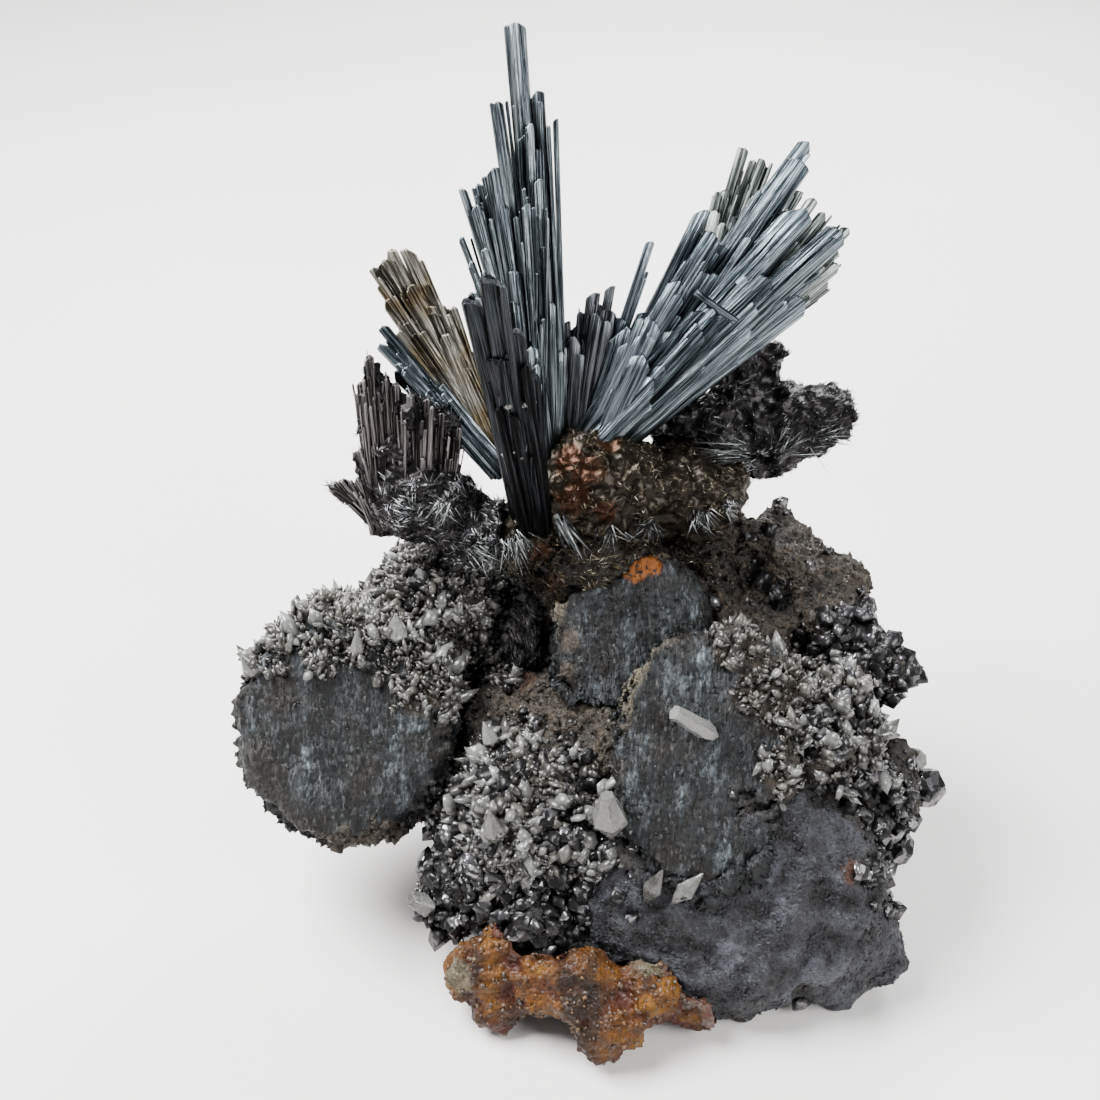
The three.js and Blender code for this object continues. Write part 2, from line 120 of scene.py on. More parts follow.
def per(size: float) -> float:
    """Returns the noise scale that makes a pattern of this size in millimetres."""
    return 1 / (size * MM)


def add_node(
    tree: Tree,
    kind: str,
    inputs: dict | None = None,
    stops: Stops | None = None,
    **settings: object,
) -> Node:
    """Adds one node with its settings, input values and links.

    Args:
        tree: The material's node tree.
        kind: The node's type.
        inputs: Input name or number to a value, or to the socket that is linked to it.
        stops: A colour ramp's places and sRGB hex colours.
        settings: The node's own properties.

    Returns:
        The new node.
    """
    node = tree.nodes.new(kind)
    for name, value in settings.items():
        setattr(node, name, value)
    for name, value in (inputs or {}).items():
        if isinstance(value, Socket):
            tree.links.new(value, node.inputs[name])
        else:
            node.inputs[name].default_value = value
    for number, (place, colour) in enumerate(stops or []):
        ramp = node.color_ramp.elements
        stop = ramp[number] if number < 2 else ramp.new(place)
        stop.position = place
        stop.color = linear(colour)
    return node


def surface(name: str, **sockets: object) -> tuple[Material, Node]:
    """Starts a material that holds one Principled shader and its output.

    Args:
        name: The material's name.
        sockets: Shader socket names, with _ for a space, and their fixed values.

    Returns:
        The material and its shader node.
    """
    material = bpy.data.materials.new(name)
    material.use_nodes = True
    tree = material.node_tree
    tree.nodes.clear()
    values = {key.replace("_", " "): value for key, value in sockets.items()}
    shader = add_node(tree, "ShaderNodeBsdfPrincipled", values)
    add_node(tree, "ShaderNodeOutputMaterial", {"Surface": shader.outputs[0]})
    return material, shader


def alone(piece: Piece) -> None:
    """Selects one object, and nothing else, and makes it the active one."""
    bpy.ops.object.select_all(action="DESELECT")
    piece.select_set(True)
    bpy.context.view_layer.objects.active = piece


def finish_with(piece: Piece, kind: str, **settings: object) -> None:
    """Adds a modifier with its settings and applies it.

    Args:
        piece: The object to change.
        kind: The modifier's type.
        settings: The modifier's properties.
    """
    modifier = piece.modifiers.new(kind.title(), kind)
    for name, value in settings.items():
        setattr(modifier, name, value)
    alone(piece)
    bpy.ops.object.modifier_apply(modifier=modifier.name)


def copy_of(node: str, name: str) -> Piece:
    """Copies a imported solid's mesh into a new object, with its loose triangles merged.

    Args:
        node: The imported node's name.
        name: The new object's name.

    Returns:
        The new object, with no material.
    """
    piece = bpy.data.objects.new(name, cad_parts[node].data.copy())
    bpy.context.scene.collection.objects.link(piece)
    piece.data.materials.clear()
    alone(piece)
    bpy.ops.object.mode_set(mode="EDIT")
    bpy.ops.mesh.select_all(action="SELECT")
    bpy.ops.mesh.remove_doubles(threshold=0.001 * MM)
    bpy.ops.object.mode_set(mode="OBJECT")
    return piece


def deliver(piece: Piece, slot: Slot, material: Material, *nodes: str) -> None:
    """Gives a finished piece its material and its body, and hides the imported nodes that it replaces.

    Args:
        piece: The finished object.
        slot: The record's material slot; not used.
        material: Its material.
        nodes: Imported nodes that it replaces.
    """
    piece.data.materials.clear()
    piece.data.materials.append(material)
    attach(piece, "root")
    if nodes:
        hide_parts(*nodes)
    triangles = sum(len(face.vertices) - 2 for face in piece.data.polygons)
    LOG.info("%s: %d triangles", piece.name, triangles)


def read(items: object, name: str, width: int, kind: type = np.float64) -> Array:
    """Reads one property of a mesh's items as an array.

    Args:
        items: The mesh's vertices, loops, edges or triangles.
        name: The property's name.
        width: Numbers in each item.
        kind: The numbers' type.

    Returns:
        One row for each item.
    """
    flat = np.empty(len(items) * width, dtype=kind)
    items.foreach_get(name, flat)
    return flat.reshape(-1, width)


def store(piece: Piece, name: str, values: Array) -> None:
    """Stores one number on each of a mesh's points."""
    attribute = piece.data.attributes.new(name, "FLOAT", "POINT")
    attribute.data.foreach_set("value", values.astype(np.float32))


def unit(rows: Array) -> Array:
    """Scales each row to length 1."""
    return rows / np.maximum(np.linalg.norm(rows, axis=1, keepdims=True), 1e-12)


def ragged(points: Array, size: float) -> Array:
    """Returns a smooth irregular value from -1 to 1 for each point.

    Args:
        points: Rows of x, y and z, in millimetres.
        size: The size of its swells, in millimetres.
    """
    x, y, z = (points / size).T
    first = np.sin(2.1 * x + 1.3 * y + 0.4) * np.cos(1.7 * z - 0.8 * x)
    second = np.sin(3.9 * y - 2.3 * z + 1.9) * np.cos(3.1 * x + 1.1 * z)
    return 0.6 * first + 0.4 * second


# ---------------------------------------------------------------------------------- finishes


def clouded(tree: Tree, place: Socket, size: float, detail: float, rough: float, stops: Stops) -> Socket:
    """Colours a surface in soft clouds.

    Args:
        tree: The material's node tree.
        place: The coordinates that the clouds follow.
        size: The clouds' size, in millimetres.
        detail: How many finer layers of cloud there are.
        rough: How strong the finer layers are, from 0 to 1.
        stops: The places and colours of the clouds' ramp.

    Returns:
        The colour.
    """
    noise = {"Vector": place, "Scale": per(size), "Detail": detail, "Roughness": rough}
    clouds = add_node(tree, "ShaderNodeTexNoise", noise).outputs[0]
    return add_node(tree, "ShaderNodeValToRGB", {"Fac": clouds}, stops).outputs[0]


def grain_cells(tree: Tree, place: Socket, size: float) -> tuple[Node, Socket]:
    """Divides a surface into grains, each with a number of its own.

    Args:
        tree: The material's node tree.
        place: The coordinates that the grains follow.
        size: The grains' size, in millimetres.

    Returns:
        The cell pattern, and each grain's own number from 0 to 1.
    """
    cells = add_node(tree, "ShaderNodeTexVoronoi", {"Vector": place, "Scale": per(size), "Randomness": 1.0})
    return cells, add_node(tree, "ShaderNodeSeparateColor", {"Color": cells.outputs["Color"]}).outputs[0]


def shaded(tree: Tree, colour: Socket, shade: Socket, stops: Stops, share: float | Socket) -> Socket:
    """Gives each grain a shade of its own.

    Args:
        tree: The material's node tree.
        colour: The colour under the shade.
        shade: Each grain's number from 0 to 1.
        stops: The places and colours of the shades' ramp.
        share: How much the shades show, from 0 to 1.

    Returns:
        The shaded colour.
    """
    grey = add_node(tree, "ShaderNodeValToRGB", {"Fac": shade}, stops).outputs[0]
    mix = {0: share, 6: colour, 7: grey}
    return add_node(tree, "ShaderNodeMix", mix, data_type="RGBA", blend_type="MULTIPLY").outputs[2]


def laid_over(tree: Tree, colour: Socket, ground: Ground, tint: str, share: float = 1.0) -> Socket:
    """Lays one colour over the patches of a ground.

    Args:
        tree: The material's node tree.
        colour: The colour under it.
        ground: The ground that is covered.
        tint: The colour that is laid on.
        share: How much of the colour under it is hidden, from 0 to 1.

    Returns:
        The covered colour.
    """
    cover = add_node(tree, "ShaderNodeAttribute", attribute_name=ground.value).outputs["Fac"]
    part = add_node(tree, "ShaderNodeMath", {0: cover, 1: share}, operation="MULTIPLY").outputs[0]
    mix = {0: part, 6: colour, 7: linear(tint)}
    return add_node(tree, "ShaderNodeMix", mix, data_type="RGBA").outputs[2]


def painted_pit_shade(tree: Tree, colour: Socket, depth: float, tint: str) -> Socket:
    """Paints shade into the pits, turning a colour towards a darker one where the surface lies low.

    Args:
        tree: The material's node tree.
        colour: The colour on the level.
        depth: The pit value from which only the tint shows.
        tint: The colour of the painted shade in the pits.

    Returns:
        The colour with painted shade in its pits.
    """
    pit = add_node(tree, "ShaderNodeAttribute", attribute_name=Ground.PIT.value).outputs["Fac"]
    part = add_node(tree, "ShaderNodeMapRange", {"Value": pit, "From Max": depth}).outputs[0]
    mix = {0: part, 6: colour, 7: linear(tint)}
    return add_node(tree, "ShaderNodeMix", mix, data_type="RGBA").outputs[2]


def coat(tree: Tree, shader: Node, colour: Socket, level: Socket, gloss: Span) -> None:
    """Gives a shader its colour, and a roughness that follows a level.

    Args:
        tree: The material's node tree.
        shader: The shader.
        colour: Its colour.
        level: A value from 0 to 1.
        gloss: The roughness at level 0 and at level 1.
    """
    tree.links.new(colour, shader.inputs["Base Color"])
    ends = {"Value": level, "To Min": gloss[0], "To Max": gloss[1]}
    tree.links.new(add_node(tree, "ShaderNodeMapRange", ends).outputs[0], shader.inputs["Roughness"])


def gritty(tree: Tree, cells: Node, place: Socket, grit: float, strengths: Span, rise: float) -> Node:
    """Raises each grain of a cell pattern, with a finer grit on it.

    Args:
        tree: The material's node tree.
        cells: The cell pattern.
        place: The coordinates that the grit follows.
        grit: The grit's size, in millimetres.
        strengths: How strongly the grains and the grit show, from 0 to 1.
        rise: How far a grain rises, in millimetres.

    Returns:
        The bump.
    """
    noise = {"Vector": place, "Scale": per(grit), "Detail": 5, "Roughness": 0.7}
    fine = add_node(tree, "ShaderNodeTexNoise", noise).outputs[0]
    height = {"Height": cells.outputs["Distance"], "Strength": strengths[0], "Distance": rise * MM}
    grains = add_node(tree, "ShaderNodeBump", height, invert=True).outputs[0]
    height = {"Height": fine, "Normal": grains, "Strength": strengths[1], "Distance": 0.3 * MM}
    return add_node(tree, "ShaderNodeBump", height)


def facets(tree: Tree, cells: Node, bump: Node, tilt: float) -> Socket:
    """Tilts each grain of a cell pattern its own way, so that grains catch the light one by one.

    Args:
        tree: The material's node tree.
        cells: The cell pattern.
        bump: The bump that the tilt is added to.
        tilt: How far the grains lean.

    Returns:
        The tilted normal.
    """
    shift = {0: cells.outputs["Color"], 1: (0.5, 0.5, 0.5)}
    centred = add_node(tree, "ShaderNodeVectorMath", shift, operation="SUBTRACT").outputs[0]
    lean = add_node(tree, "ShaderNodeVectorMath", {0: centred, "Scale": tilt}, operation="SCALE").outputs[0]
    both = add_node(tree, "ShaderNodeVectorMath", {0: lean, 1: bump.outputs[0]}, operation="ADD").outputs[0]
    return add_node(tree, "ShaderNodeVectorMath", {0: both}, operation="NORMALIZE").outputs[0]


class Finish(ABC):
    """A mineral's finish."""

    @abstractmethod
    def make(self) -> Material:
        """Builds the material."""


@dataclass(frozen=True)
class RockFinish(Finish):
    """Dolomite host rock: dark, granular and broken, with druse, crust and iron stain on it."""

    name: str = "dolomite host rock"
    dark: str = "#12100e"
    middle: str = "#35302a"
    pale: str = "#6b6154"

    def make(self) -> Material:
        """Builds the material. Broken dolomite is matt, with a glint where a cleavage face shows."""
        material, shader = surface(self.name, Specular_IOR_Level=0.36)
        tree = material.node_tree
        place = add_node(tree, "ShaderNodeTexCoord").outputs["Object"]
        stops = [(0.3, self.dark), (0.75, self.pale), (0.52, self.middle)]
        colour = clouded(tree, place, 3, 6, 0.65, stops)
        grounds = [
            (Ground.EARTH, "#463b2f", 0.7),
            (Ground.DRUSE, "#26231f", 0.6),
            (Ground.SUGAR, "#45423d", 0.6),
            (Ground.GLINT, "#1a191a", 0.8),
            (Ground.FELT, "#1a140d", 0.9),
        ]
        for ground, tint, share in grounds:
            colour = laid_over(tree, colour, ground, tint, share)
        # The smooth crust has blue-grey clouds of its own.
        smoke = clouded(tree, place, 5, 5, 0.6, [(0.36, "#131317"), (0.68, "#51545c"), (0.52, "#2e2f35")])
        cover = add_node(tree, "ShaderNodeAttribute", attribute_name=Ground.CRUST.value).outputs["Fac"]
        mix = {0: cover, 6: colour, 7: smoke}
        colour = add_node(tree, "ShaderNodeMix", mix, data_type="RGBA").outputs[2]
        colour = laid_over(tree, colour, Ground.RUST, "#4c270d", 0.85)
        # Single grains of about 0.4 mm each have a shade of their own, fainter on the crust.
        cells, shade = grain_cells(tree, place, 0.38)
        ends = {"Value": cover, "To Min": 0.85, "To Max": 0.5}
        share = add_node(tree, "ShaderNodeMapRange", ends).outputs[0]
        colour = shaded(tree, colour, shade, [(0.0, "#606060"), (1.0, "#ffffff"), (0.8, "#a8a8a8")], share)
        # Painted shade: the rock's pits turn near-black.
        coat(tree, shader, painted_pit_shade(tree, colour, 0.5, "#0b0a09"), shade, (0.28, 0.85))
        bump = gritty(tree, cells, place, 0.35, (0.7, 0.8), 0.25)
        tree.links.new(facets(tree, cells, bump, 0.9), shader.inputs["Normal"])
        return material


@dataclass(frozen=True)
class CrustFinish(Finish):
    """Fine quartz and sulphide crust: sugary and blue-grey, with a rim of another colour."""

    name: str
    rim: str

    def make(self) -> Material:
        """Builds the material. Its sugary grains are about 0.3 mm and catch the light one by one."""
        material, shader = surface(self.name, Specular_IOR_Level=0.28)
        tree = material.node_tree
        place = add_node(tree, "ShaderNodeTexCoord").outputs["Object"]
        # Its fibres run down the plates, so the clouds are drawn out that way.
        upright = add_node(tree, "ShaderNodeMapping", {"Vector": place, "Scale": (1, 0.4, 0.4)}).outputs[0]
        stops = [(0.42, "#040506"), (0.68, "#8b969e"), (0.53, "#262b2f")]
        colour = clouded(tree, upright, 2.6, 8, 0.78, stops)
        # A brown tarnish lies on it in patches of about 8 mm.
        noise = {"Vector": place, "Scale": per(8), "Detail": 5, "Roughness": 0.6}
        tarnish = add_node(tree, "ShaderNodeTexNoise", noise).outputs[0]
        limits = {"Value": tarnish, "From Min": 0.45, "From Max": 0.6, "To Max": 0.85}
        mix = {0: add_node(tree, "ShaderNodeMapRange", limits).outputs[0], 6: colour, 7: linear("#28231e")}
        colour = add_node(tree, "ShaderNodeMix", mix, data_type="RGBA").outputs[2]
        cells, shade = grain_cells(tree, upright, 0.3)
        colour = shaded(tree, colour, shade, [(0.0, "#505050"), (1.0, "#ffffff"), (0.8, "#8c8c8c")], 0.85)
        colour = laid_over(tree, colour, Ground.RIM, self.rim, 0.85)
        colour = laid_over(tree, colour, Ground.EARTH, "#3d352c", 0.6)
        colour = laid_over(tree, colour, Ground.RUST, "#7a4310", 0.9)
        # Painted shade: the crust's pits turn dark blue-grey.
        coat(tree, shader, painted_pit_shade(tree, colour, 0.3, "#121416"), shade, (0.32, 0.75))
        bump = gritty(tree, cells, place, 0.5, (0.8, 0.7), 0.2)
        tree.links.new(facets(tree, cells, bump, 0.8), shader.inputs["Normal"])
        return material


@dataclass(frozen=True)
class StibniteFinish(Finish):
    """Stibnite: a soft grey metal sulphide whose long faces are grooved along their length."""

    name: str
    dark: str
    middle: str
    bright: str
    roughness: float = 0.3
    film: str = "#000000"
    film_share: float = 0.0

    def make(self) -> Material:
        """Builds the material. The grooves follow the blade's own map, which is in millimetres."""
        material, shader = surface(self.name, Metallic=1.0)
        tree = material.node_tree
        # The map runs across the lath first, then along it. Real grooves are as fine as 0.05 mm; the
        # finest here are about 0.1 mm, so that they show.
        place = add_node(tree, "ShaderNodeUVMap", uv_map="lath").outputs[0]
        patterns = []
        for scale, detail in (((2.4, 0.06, 1.0), 4), ((8.5, 0.14, 1.0), 3)):
            drawn_out = add_node(tree, "ShaderNodeMapping", {"Vector": place, "Scale": scale}).outputs[0]
            noise = {"Vector": drawn_out, "Scale": 1.0, "Detail": detail, "Roughness": 0.6}
            patterns.append(add_node(tree, "ShaderNodeTexNoise", noise, noise_dimensions="2D").outputs[0])
        broad, grooves = patterns
        both = add_node(tree, "ShaderNodeMath", {0: broad, 1: grooves}, operation="ADD").outputs[0]
        half = add_node(tree, "ShaderNodeMath", {0: both, 1: 0.5}, operation="MULTIPLY").outputs[0]
        tone = add_node(tree, "ShaderNodeAttribute", attribute_name="tone").outputs["Fac"]
        ends = {"Value": tone, "To Min": -0.08, "To Max": 0.08}
        shift = add_node(tree, "ShaderNodeMapRange", ends).outputs[0]
        level = add_node(tree, "ShaderNodeMath", {0: half, 1: shift}, operation="ADD").outputs[0]
        # The ramp paints light and shade into the grooves: besides the grooves' own tone, its dark streaks
        # are painted shade and its bright ones painted highlights, standing in for reflections.
        stops = [(0.41, self.dark), (0.62, self.bright), (0.5, self.middle)]
        colour = add_node(tree, "ShaderNodeValToRGB", {"Fac": level}, stops).outputs[0]
        # Its film of tarnish comes in patches of about 5 mm.
        solid = add_node(tree, "ShaderNodeTexCoord").outputs["Object"]
        noise = {"Vector": solid, "Scale": per(5), "Detail": 2}
        film = add_node(tree, "ShaderNodeTexNoise", noise).outputs[0]
        limits = {"Value": film, "From Min": 0.42, "From Max": 0.6, "To Max": self.film_share}
        mix = {0: add_node(tree, "ShaderNodeMapRange", limits).outputs[0], 6: colour, 7: linear(self.film)}
        colour = add_node(tree, "ShaderNodeMix", mix, data_type="RGBA", blend_type="OVERLAY").outputs[2]
        coat(tree, shader, colour, grooves, (self.roughness + 0.2, self.roughness - 0.08))
        height = {"Height": broad, "Strength": 0.7, "Distance": 0.25 * MM}
        normal = add_node(tree, "ShaderNodeBump", height).outputs[0]
        height = {"Height": grooves, "Normal": normal, "Strength": 0.7, "Distance": 0.1 * MM}
        tree.links.new(add_node(tree, "ShaderNodeBump", height).outputs[0], shader.inputs["Normal"])
        return material


@dataclass(frozen=True)
class NeedleFinish(Finish):
    """Fine needles: each has one shade, from tarnished black through brown to clean silver."""

    name: str
    stops: tuple[tuple[float, str], ...]

    def make(self) -> Material:
        """Builds the material. A tarnish film dulls most needles, and the clean ones glint."""
        material, shader = surface(self.name, Metallic=0.8, Roughness=0.38)
        tree = material.node_tree
        tone = add_node(tree, "ShaderNodeAttribute", attribute_name="tone").outputs["Fac"]
        place = add_node(tree, "ShaderNodeTexCoord").outputs["Object"]
        noise = {"Vector": place, "Scale": per(1.5), "Detail": 3}
        film = add_node(tree, "ShaderNodeTexNoise", noise).outputs[0]
        ends = {"Value": film, "To Min": -0.12, "To Max": 0.12}
        shift = add_node(tree, "ShaderNodeMapRange", ends).outputs[0]
        level = add_node(tree, "ShaderNodeMath", {0: tone, 1: shift}, operation="ADD").outputs[0]
        colour = add_node(tree, "ShaderNodeValToRGB", {"Fac": level}, list(self.stops)).outputs[0]
        colour = laid_over(tree, colour, Ground.RUST, "#2e1809", 0.93)
        tree.links.new(colour, shader.inputs["Base Color"])
        height = {"Height": film, "Strength": 0.3, "Distance": 0.1 * MM}
        tree.links.new(add_node(tree, "ShaderNodeBump", height).outputs[0], shader.inputs["Normal"])
        return material


@dataclass(frozen=True)
class CalciteFinish(Finish):
    """Calcite: translucent and glassy, milky inside, with faint growth lines on its faces."""

    name: str
    dim: str
    clear: str
    transmission: float = 0.45
    roughness: float = 0.22

    def make(self) -> Material:
        """Builds the material. Calcite's mean refractive index is near 1.6; each crystal has a tint."""
        glass = {"Transmission_Weight": self.transmission, "IOR": 1.6, "Specular_IOR_Level": 0.5}
        material, shader = surface(self.name, **glass)
        tree = material.node_tree
        place = add_node(tree, "ShaderNodeTexCoord").outputs["Object"]
        noise = {"Vector": place, "Scale": per(1.2), "Detail": 5, "Roughness": 0.65}
        veil = add_node(tree, "ShaderNodeTexNoise", noise).outputs[0]
        tone = add_node(tree, "ShaderNodeAttribute", attribute_name="tone").outputs["Fac"]
        both = add_node(tree, "ShaderNodeMath", {0: veil, 1: tone}, operation="ADD").outputs[0]
        level = add_node(tree, "ShaderNodeMath", {0: both, 1: 0.6}, operation="MULTIPLY").outputs[0]
        stops = [(0.25, self.dim), (1.0, self.clear)]
        colour = add_node(tree, "ShaderNodeValToRGB", {"Fac": level}, stops).outputs[0]
        coat(tree, shader, colour, veil, (self.roughness - 0.1, self.roughness + 0.2))
        noise = {"Vector": place, "Scale": per(0.3), "Detail": 2}
        lines = add_node(tree, "ShaderNodeTexNoise", noise).outputs[0]
        height = {"Height": lines, "Strength": 0.35, "Distance": 0.1 * MM}
        tree.links.new(add_node(tree, "ShaderNodeBump", height).outputs[0], shader.inputs["Normal"])
        return material


@dataclass(frozen=True)
class AmberFinish(Finish):
    """Iron-stained calcite crust: amber at its knobs and darker by painted shade in its hollows, with grey
    crust and red-brown patches along its foot.
    """

    name: str = "iron-stained calcite crust"

    def make(self) -> Material:
        """Builds the material. Its glassy grains are about 0.5 mm, so it sparkles all over."""
        material, shader = surface(self.name, Transmission_Weight=0.1, IOR=1.6, Specular_IOR_Level=0.18)
        tree = material.node_tree
        place = add_node(tree, "ShaderNodeTexCoord").outputs["Object"]
        stops = [(0.34, "#120702"), (0.72, "#745210"), (0.44, "#2d1702"), (0.56, "#573302")]
        colour = clouded(tree, place, 5, 6, 0.6, stops)
        cells, shade = grain_cells(tree, place, 0.5)
        colour = shaded(tree, colour, shade, [(0.0, "#8a7a70"), (1.0, "#fff8ee")], 0.6)
        # Painted shade: the amber's pits turn dark red-brown.
        colour = painted_pit_shade(tree, colour, 0.5, "#3a1708")
        colour = laid_over(tree, colour, Ground.CRUST, "#4c4535")
        # The rust ground on the amber is only the patches along its foot, so it is darker red-brown towards
        # the bottom.
        colour = laid_over(tree, colour, Ground.RUST, "#3c150a")
        coat(tree, shader, colour, shade, (0.4, 0.75))
        height = {"Height": cells.outputs["Distance"], "Strength": 0.8, "Distance": 0.25 * MM}
        bump = add_node(tree, "ShaderNodeBump", height, invert=True)
        tree.links.new(facets(tree, cells, bump, 0.6), shader.inputs["Normal"])
        return material


@dataclass(frozen=True)
class SphaleriteFinish(Finish):
    """Iron-rich sphalerite: near-black, between glassy and metallic, with cleavage steps."""

    name: str = "iron-rich sphalerite"

    def make(self) -> Material:
        """Builds the material. Its lustre comes from a high index, and cleavage breaks the faces."""
        material, shader = surface(self.name, Metallic=0.7, Specular_IOR_Level=0.6)
        tree = material.node_tree
        place = add_node(tree, "ShaderNodeTexCoord").outputs["Object"]
        pattern = {"Vector": place, "Scale": per(1.1), "Randomness": 0.9}
        steps = add_node(tree, "ShaderNodeTexVoronoi", pattern, distance="CHEBYCHEV")
        shade = add_node(tree, "ShaderNodeSeparateColor", {"Color": steps.outputs["Color"]}).outputs[0]
        # Each cleavage step has a shade of its own; the pale steps at the top of the ramp are painted
        # glints.
        stops = [(0.0, "#100f10"), (1.0, "#7d7b7e"), (0.75, "#2b2a2c")]
        colour = add_node(tree, "ShaderNodeValToRGB", {"Fac": shade}, stops).outputs[0]
        coat(tree, shader, colour, shade, (0.5, 0.18))
        bump = add_node(tree, "ShaderNodeBump", {"Height": shade, "Strength": 0.5, "Distance": 0.15 * MM})
        tree.links.new(facets(tree, steps, bump, 0.8), shader.inputs["Normal"])
        return material


# ---------------------------------------------------------------------------------- shapes to repeat


@dataclass
class Shape:
    """One small closed shape as arrays, ready to be repeated. It is about 1 across and 1 tall."""

    points: Array
    corners: Array
    starts: Array
    uv: Array

    @classmethod
    def take(cls, piece: Piece) -> Shape:
        """Reads a modelled object into arrays and deletes the object.

        Args:
            piece: The object, standing on the origin along +Z.

        Returns:
            The shape, with a map that runs round it and up it.
        """
        mesh = piece.data
        points = read(mesh.vertices, "co", 3)
        corners = read(mesh.loops, "vertex_index", 1, np.int32)[:, 0]
        starts = read(mesh.polygons, "loop_start", 1, np.int32)[:, 0]
        sides = np.diff(np.append(starts, len(corners)))
        middles = np.repeat(read(mesh.polygons, "center", 3), sides, axis=0)
        turn = np.arctan2(points[corners, 1], points[corners, 0])
        centre_turn = np.arctan2(middles[:, 1], middles[:, 0])
        around = centre_turn + (turn - centre_turn + math.pi) % (2 * math.pi) - math.pi
        uv = np.stack([around / (2 * math.pi), points[corners, 2]], axis=1)
        bpy.data.objects.remove(piece)
        return cls(points, corners, starts, uv)

    @classmethod
    def lath(cls) -> Shape:
        """Models one grooved blade: a flat prism of sixteen narrow faces with a worn, chiselled end.

        Returns:
            The blade's shape.
        """
        bpy.ops.mesh.primitive_cylinder_add(vertices=16, radius=0.5, depth=1, location=(0, 0, 0.5))
        piece = bpy.context.active_object
        bpy.ops.object.transform_apply(location=True)
        for point in piece.data.vertices:
            turn = math.atan2(point.co.y, point.co.x)
            step = round(turn / math.radians(22.5))
            groove = (1.0, 0.86, 0.97, 0.9)[step % 4]
            for axis, wave in ((0, math.cos(turn)), (1, math.sin(turn))):
                point.co[axis] = 0.5 * groove * math.copysign(abs(wave) ** 0.55, wave)
        bpy.ops.object.mode_set(mode="EDIT")
        for height in (0.3, 0.6, 0.85):
            bpy.ops.mesh.select_all(action="SELECT")
            bpy.ops.mesh.bisect(plane_co=(0, 0, height), plane_no=(0, 0, 1))
        bpy.ops.object.mode_set(mode="OBJECT")
        pick_faces(piece, lambda normal, centre: normal.z > 0.9)
        bpy.ops.object.mode_set(mode="EDIT")
        bpy.ops.mesh.inset(thickness=0.1)
        bpy.ops.transform.translate(value=(0, 0, 0.001))
        bpy.ops.object.mode_set(mode="OBJECT")
        return cls.take(piece)

    @classmethod
    def needle(cls) -> Shape:
        """Models one three-sided needle that narrows to a point.

        Returns:
            The needle's shape.
        """
        bpy.ops.mesh.primitive_cone_add(vertices=3, radius1=0.75, radius2=0, depth=1, location=(0, 0, 0.5))
        piece = bpy.context.active_object
        bpy.ops.object.transform_apply(location=True)
        return cls.take(piece)

    @classmethod
    def dogtooth(cls) -> Shape:
        """Models one calcite dogtooth: a six-sided spindle with a narrower, buried foot.

        Returns:
            The dogtooth's shape.
        """
        tip = (0, 0, 0.775)
        bpy.ops.mesh.primitive_cone_add(vertices=6, radius1=0.5, radius2=0, depth=0.45, location=tip)
        piece = bpy.context.active_object
        bpy.ops.object.transform_apply(location=True)
        pick_faces(piece, lambda normal, centre: normal.z < -0.9)
        bpy.ops.object.mode_set(mode="EDIT")
        bpy.ops.mesh.extrude_region_move(TRANSFORM_OT_translate={"value": (0, 0, -0.55)})
        bpy.ops.transform.resize(value=(0.6, 0.6, 1))
        bpy.ops.object.mode_set(mode="OBJECT")
        for point in piece.data.vertices:
            turn = round(math.atan2(point.co.y, point.co.x) / math.radians(60))
            if 0.3 < point.co.z < 0.9:
                point.co.z += 0.08 if turn % 2 else -0.08
        return cls.take(piece)

    @classmethod
    def block(cls) -> Shape:
        """Models one cleaved block: a leaning cube with a worn top, half sunk.

        Returns:
            The block's shape.
        """
        bpy.ops.mesh.primitive_cube_add(size=1, location=(0, 0, 0.25))
        piece = bpy.context.active_object
        bpy.ops.object.transform_apply(location=True)
        pick_faces(piece, lambda normal, centre: normal.z > 0.9)
        bpy.ops.object.mode_set(mode="EDIT")
        bpy.ops.mesh.inset(thickness=0.2)
        bpy.ops.transform.translate(value=(0, 0, 0.12))
        bpy.ops.object.mode_set(mode="OBJECT")
        for point in piece.data.vertices:
            point.co.x += 0.3 * point.co.z - 0.2 * point.co.y
            point.co.y -= 0.18 * point.co.z
        return cls.take(piece)

    @classmethod
    def grain(cls) -> Shape:
        """Models one sugary grain: a lumpy eight-sided crumb, half sunk.

        Returns:
            The grain's shape.
        """
        top = (0, 0, 0.35)
        bpy.ops.mesh.primitive_cone_add(vertices=4, radius1=0.56, radius2=0, depth=0.5, location=top)
        piece = bpy.context.active_object
        bpy.ops.object.transform_apply(location=True)
        pick_faces(piece, lambda normal, centre: normal.z < -0.9)
        bpy.ops.object.mode_set(mode="EDIT")
        bpy.ops.mesh.poke(offset=0.4)
        bpy.ops.object.mode_set(mode="OBJECT")
        for number, point in enumerate(piece.data.vertices):
            point.co *= 1.0 + 0.18 * math.sin(2.4 * number)
        return cls.take(piece)


def pick_faces(piece: Piece, wanted: Callable[[Vector, Vector], bool]) -> None:
    """Selects the faces of an object by their normal and centre.

    Args:
        piece: The object, in object mode.
        wanted: Says of a face's normal and centre whether it is picked.
    """
    alone(piece)
    mesh = piece.data
    mesh.vertices.foreach_set("select", [False] * len(mesh.vertices))
    mesh.edges.foreach_set("select", [False] * len(mesh.edges))
    for face in mesh.polygons:
        face.select = wanted(face.normal, face.center)


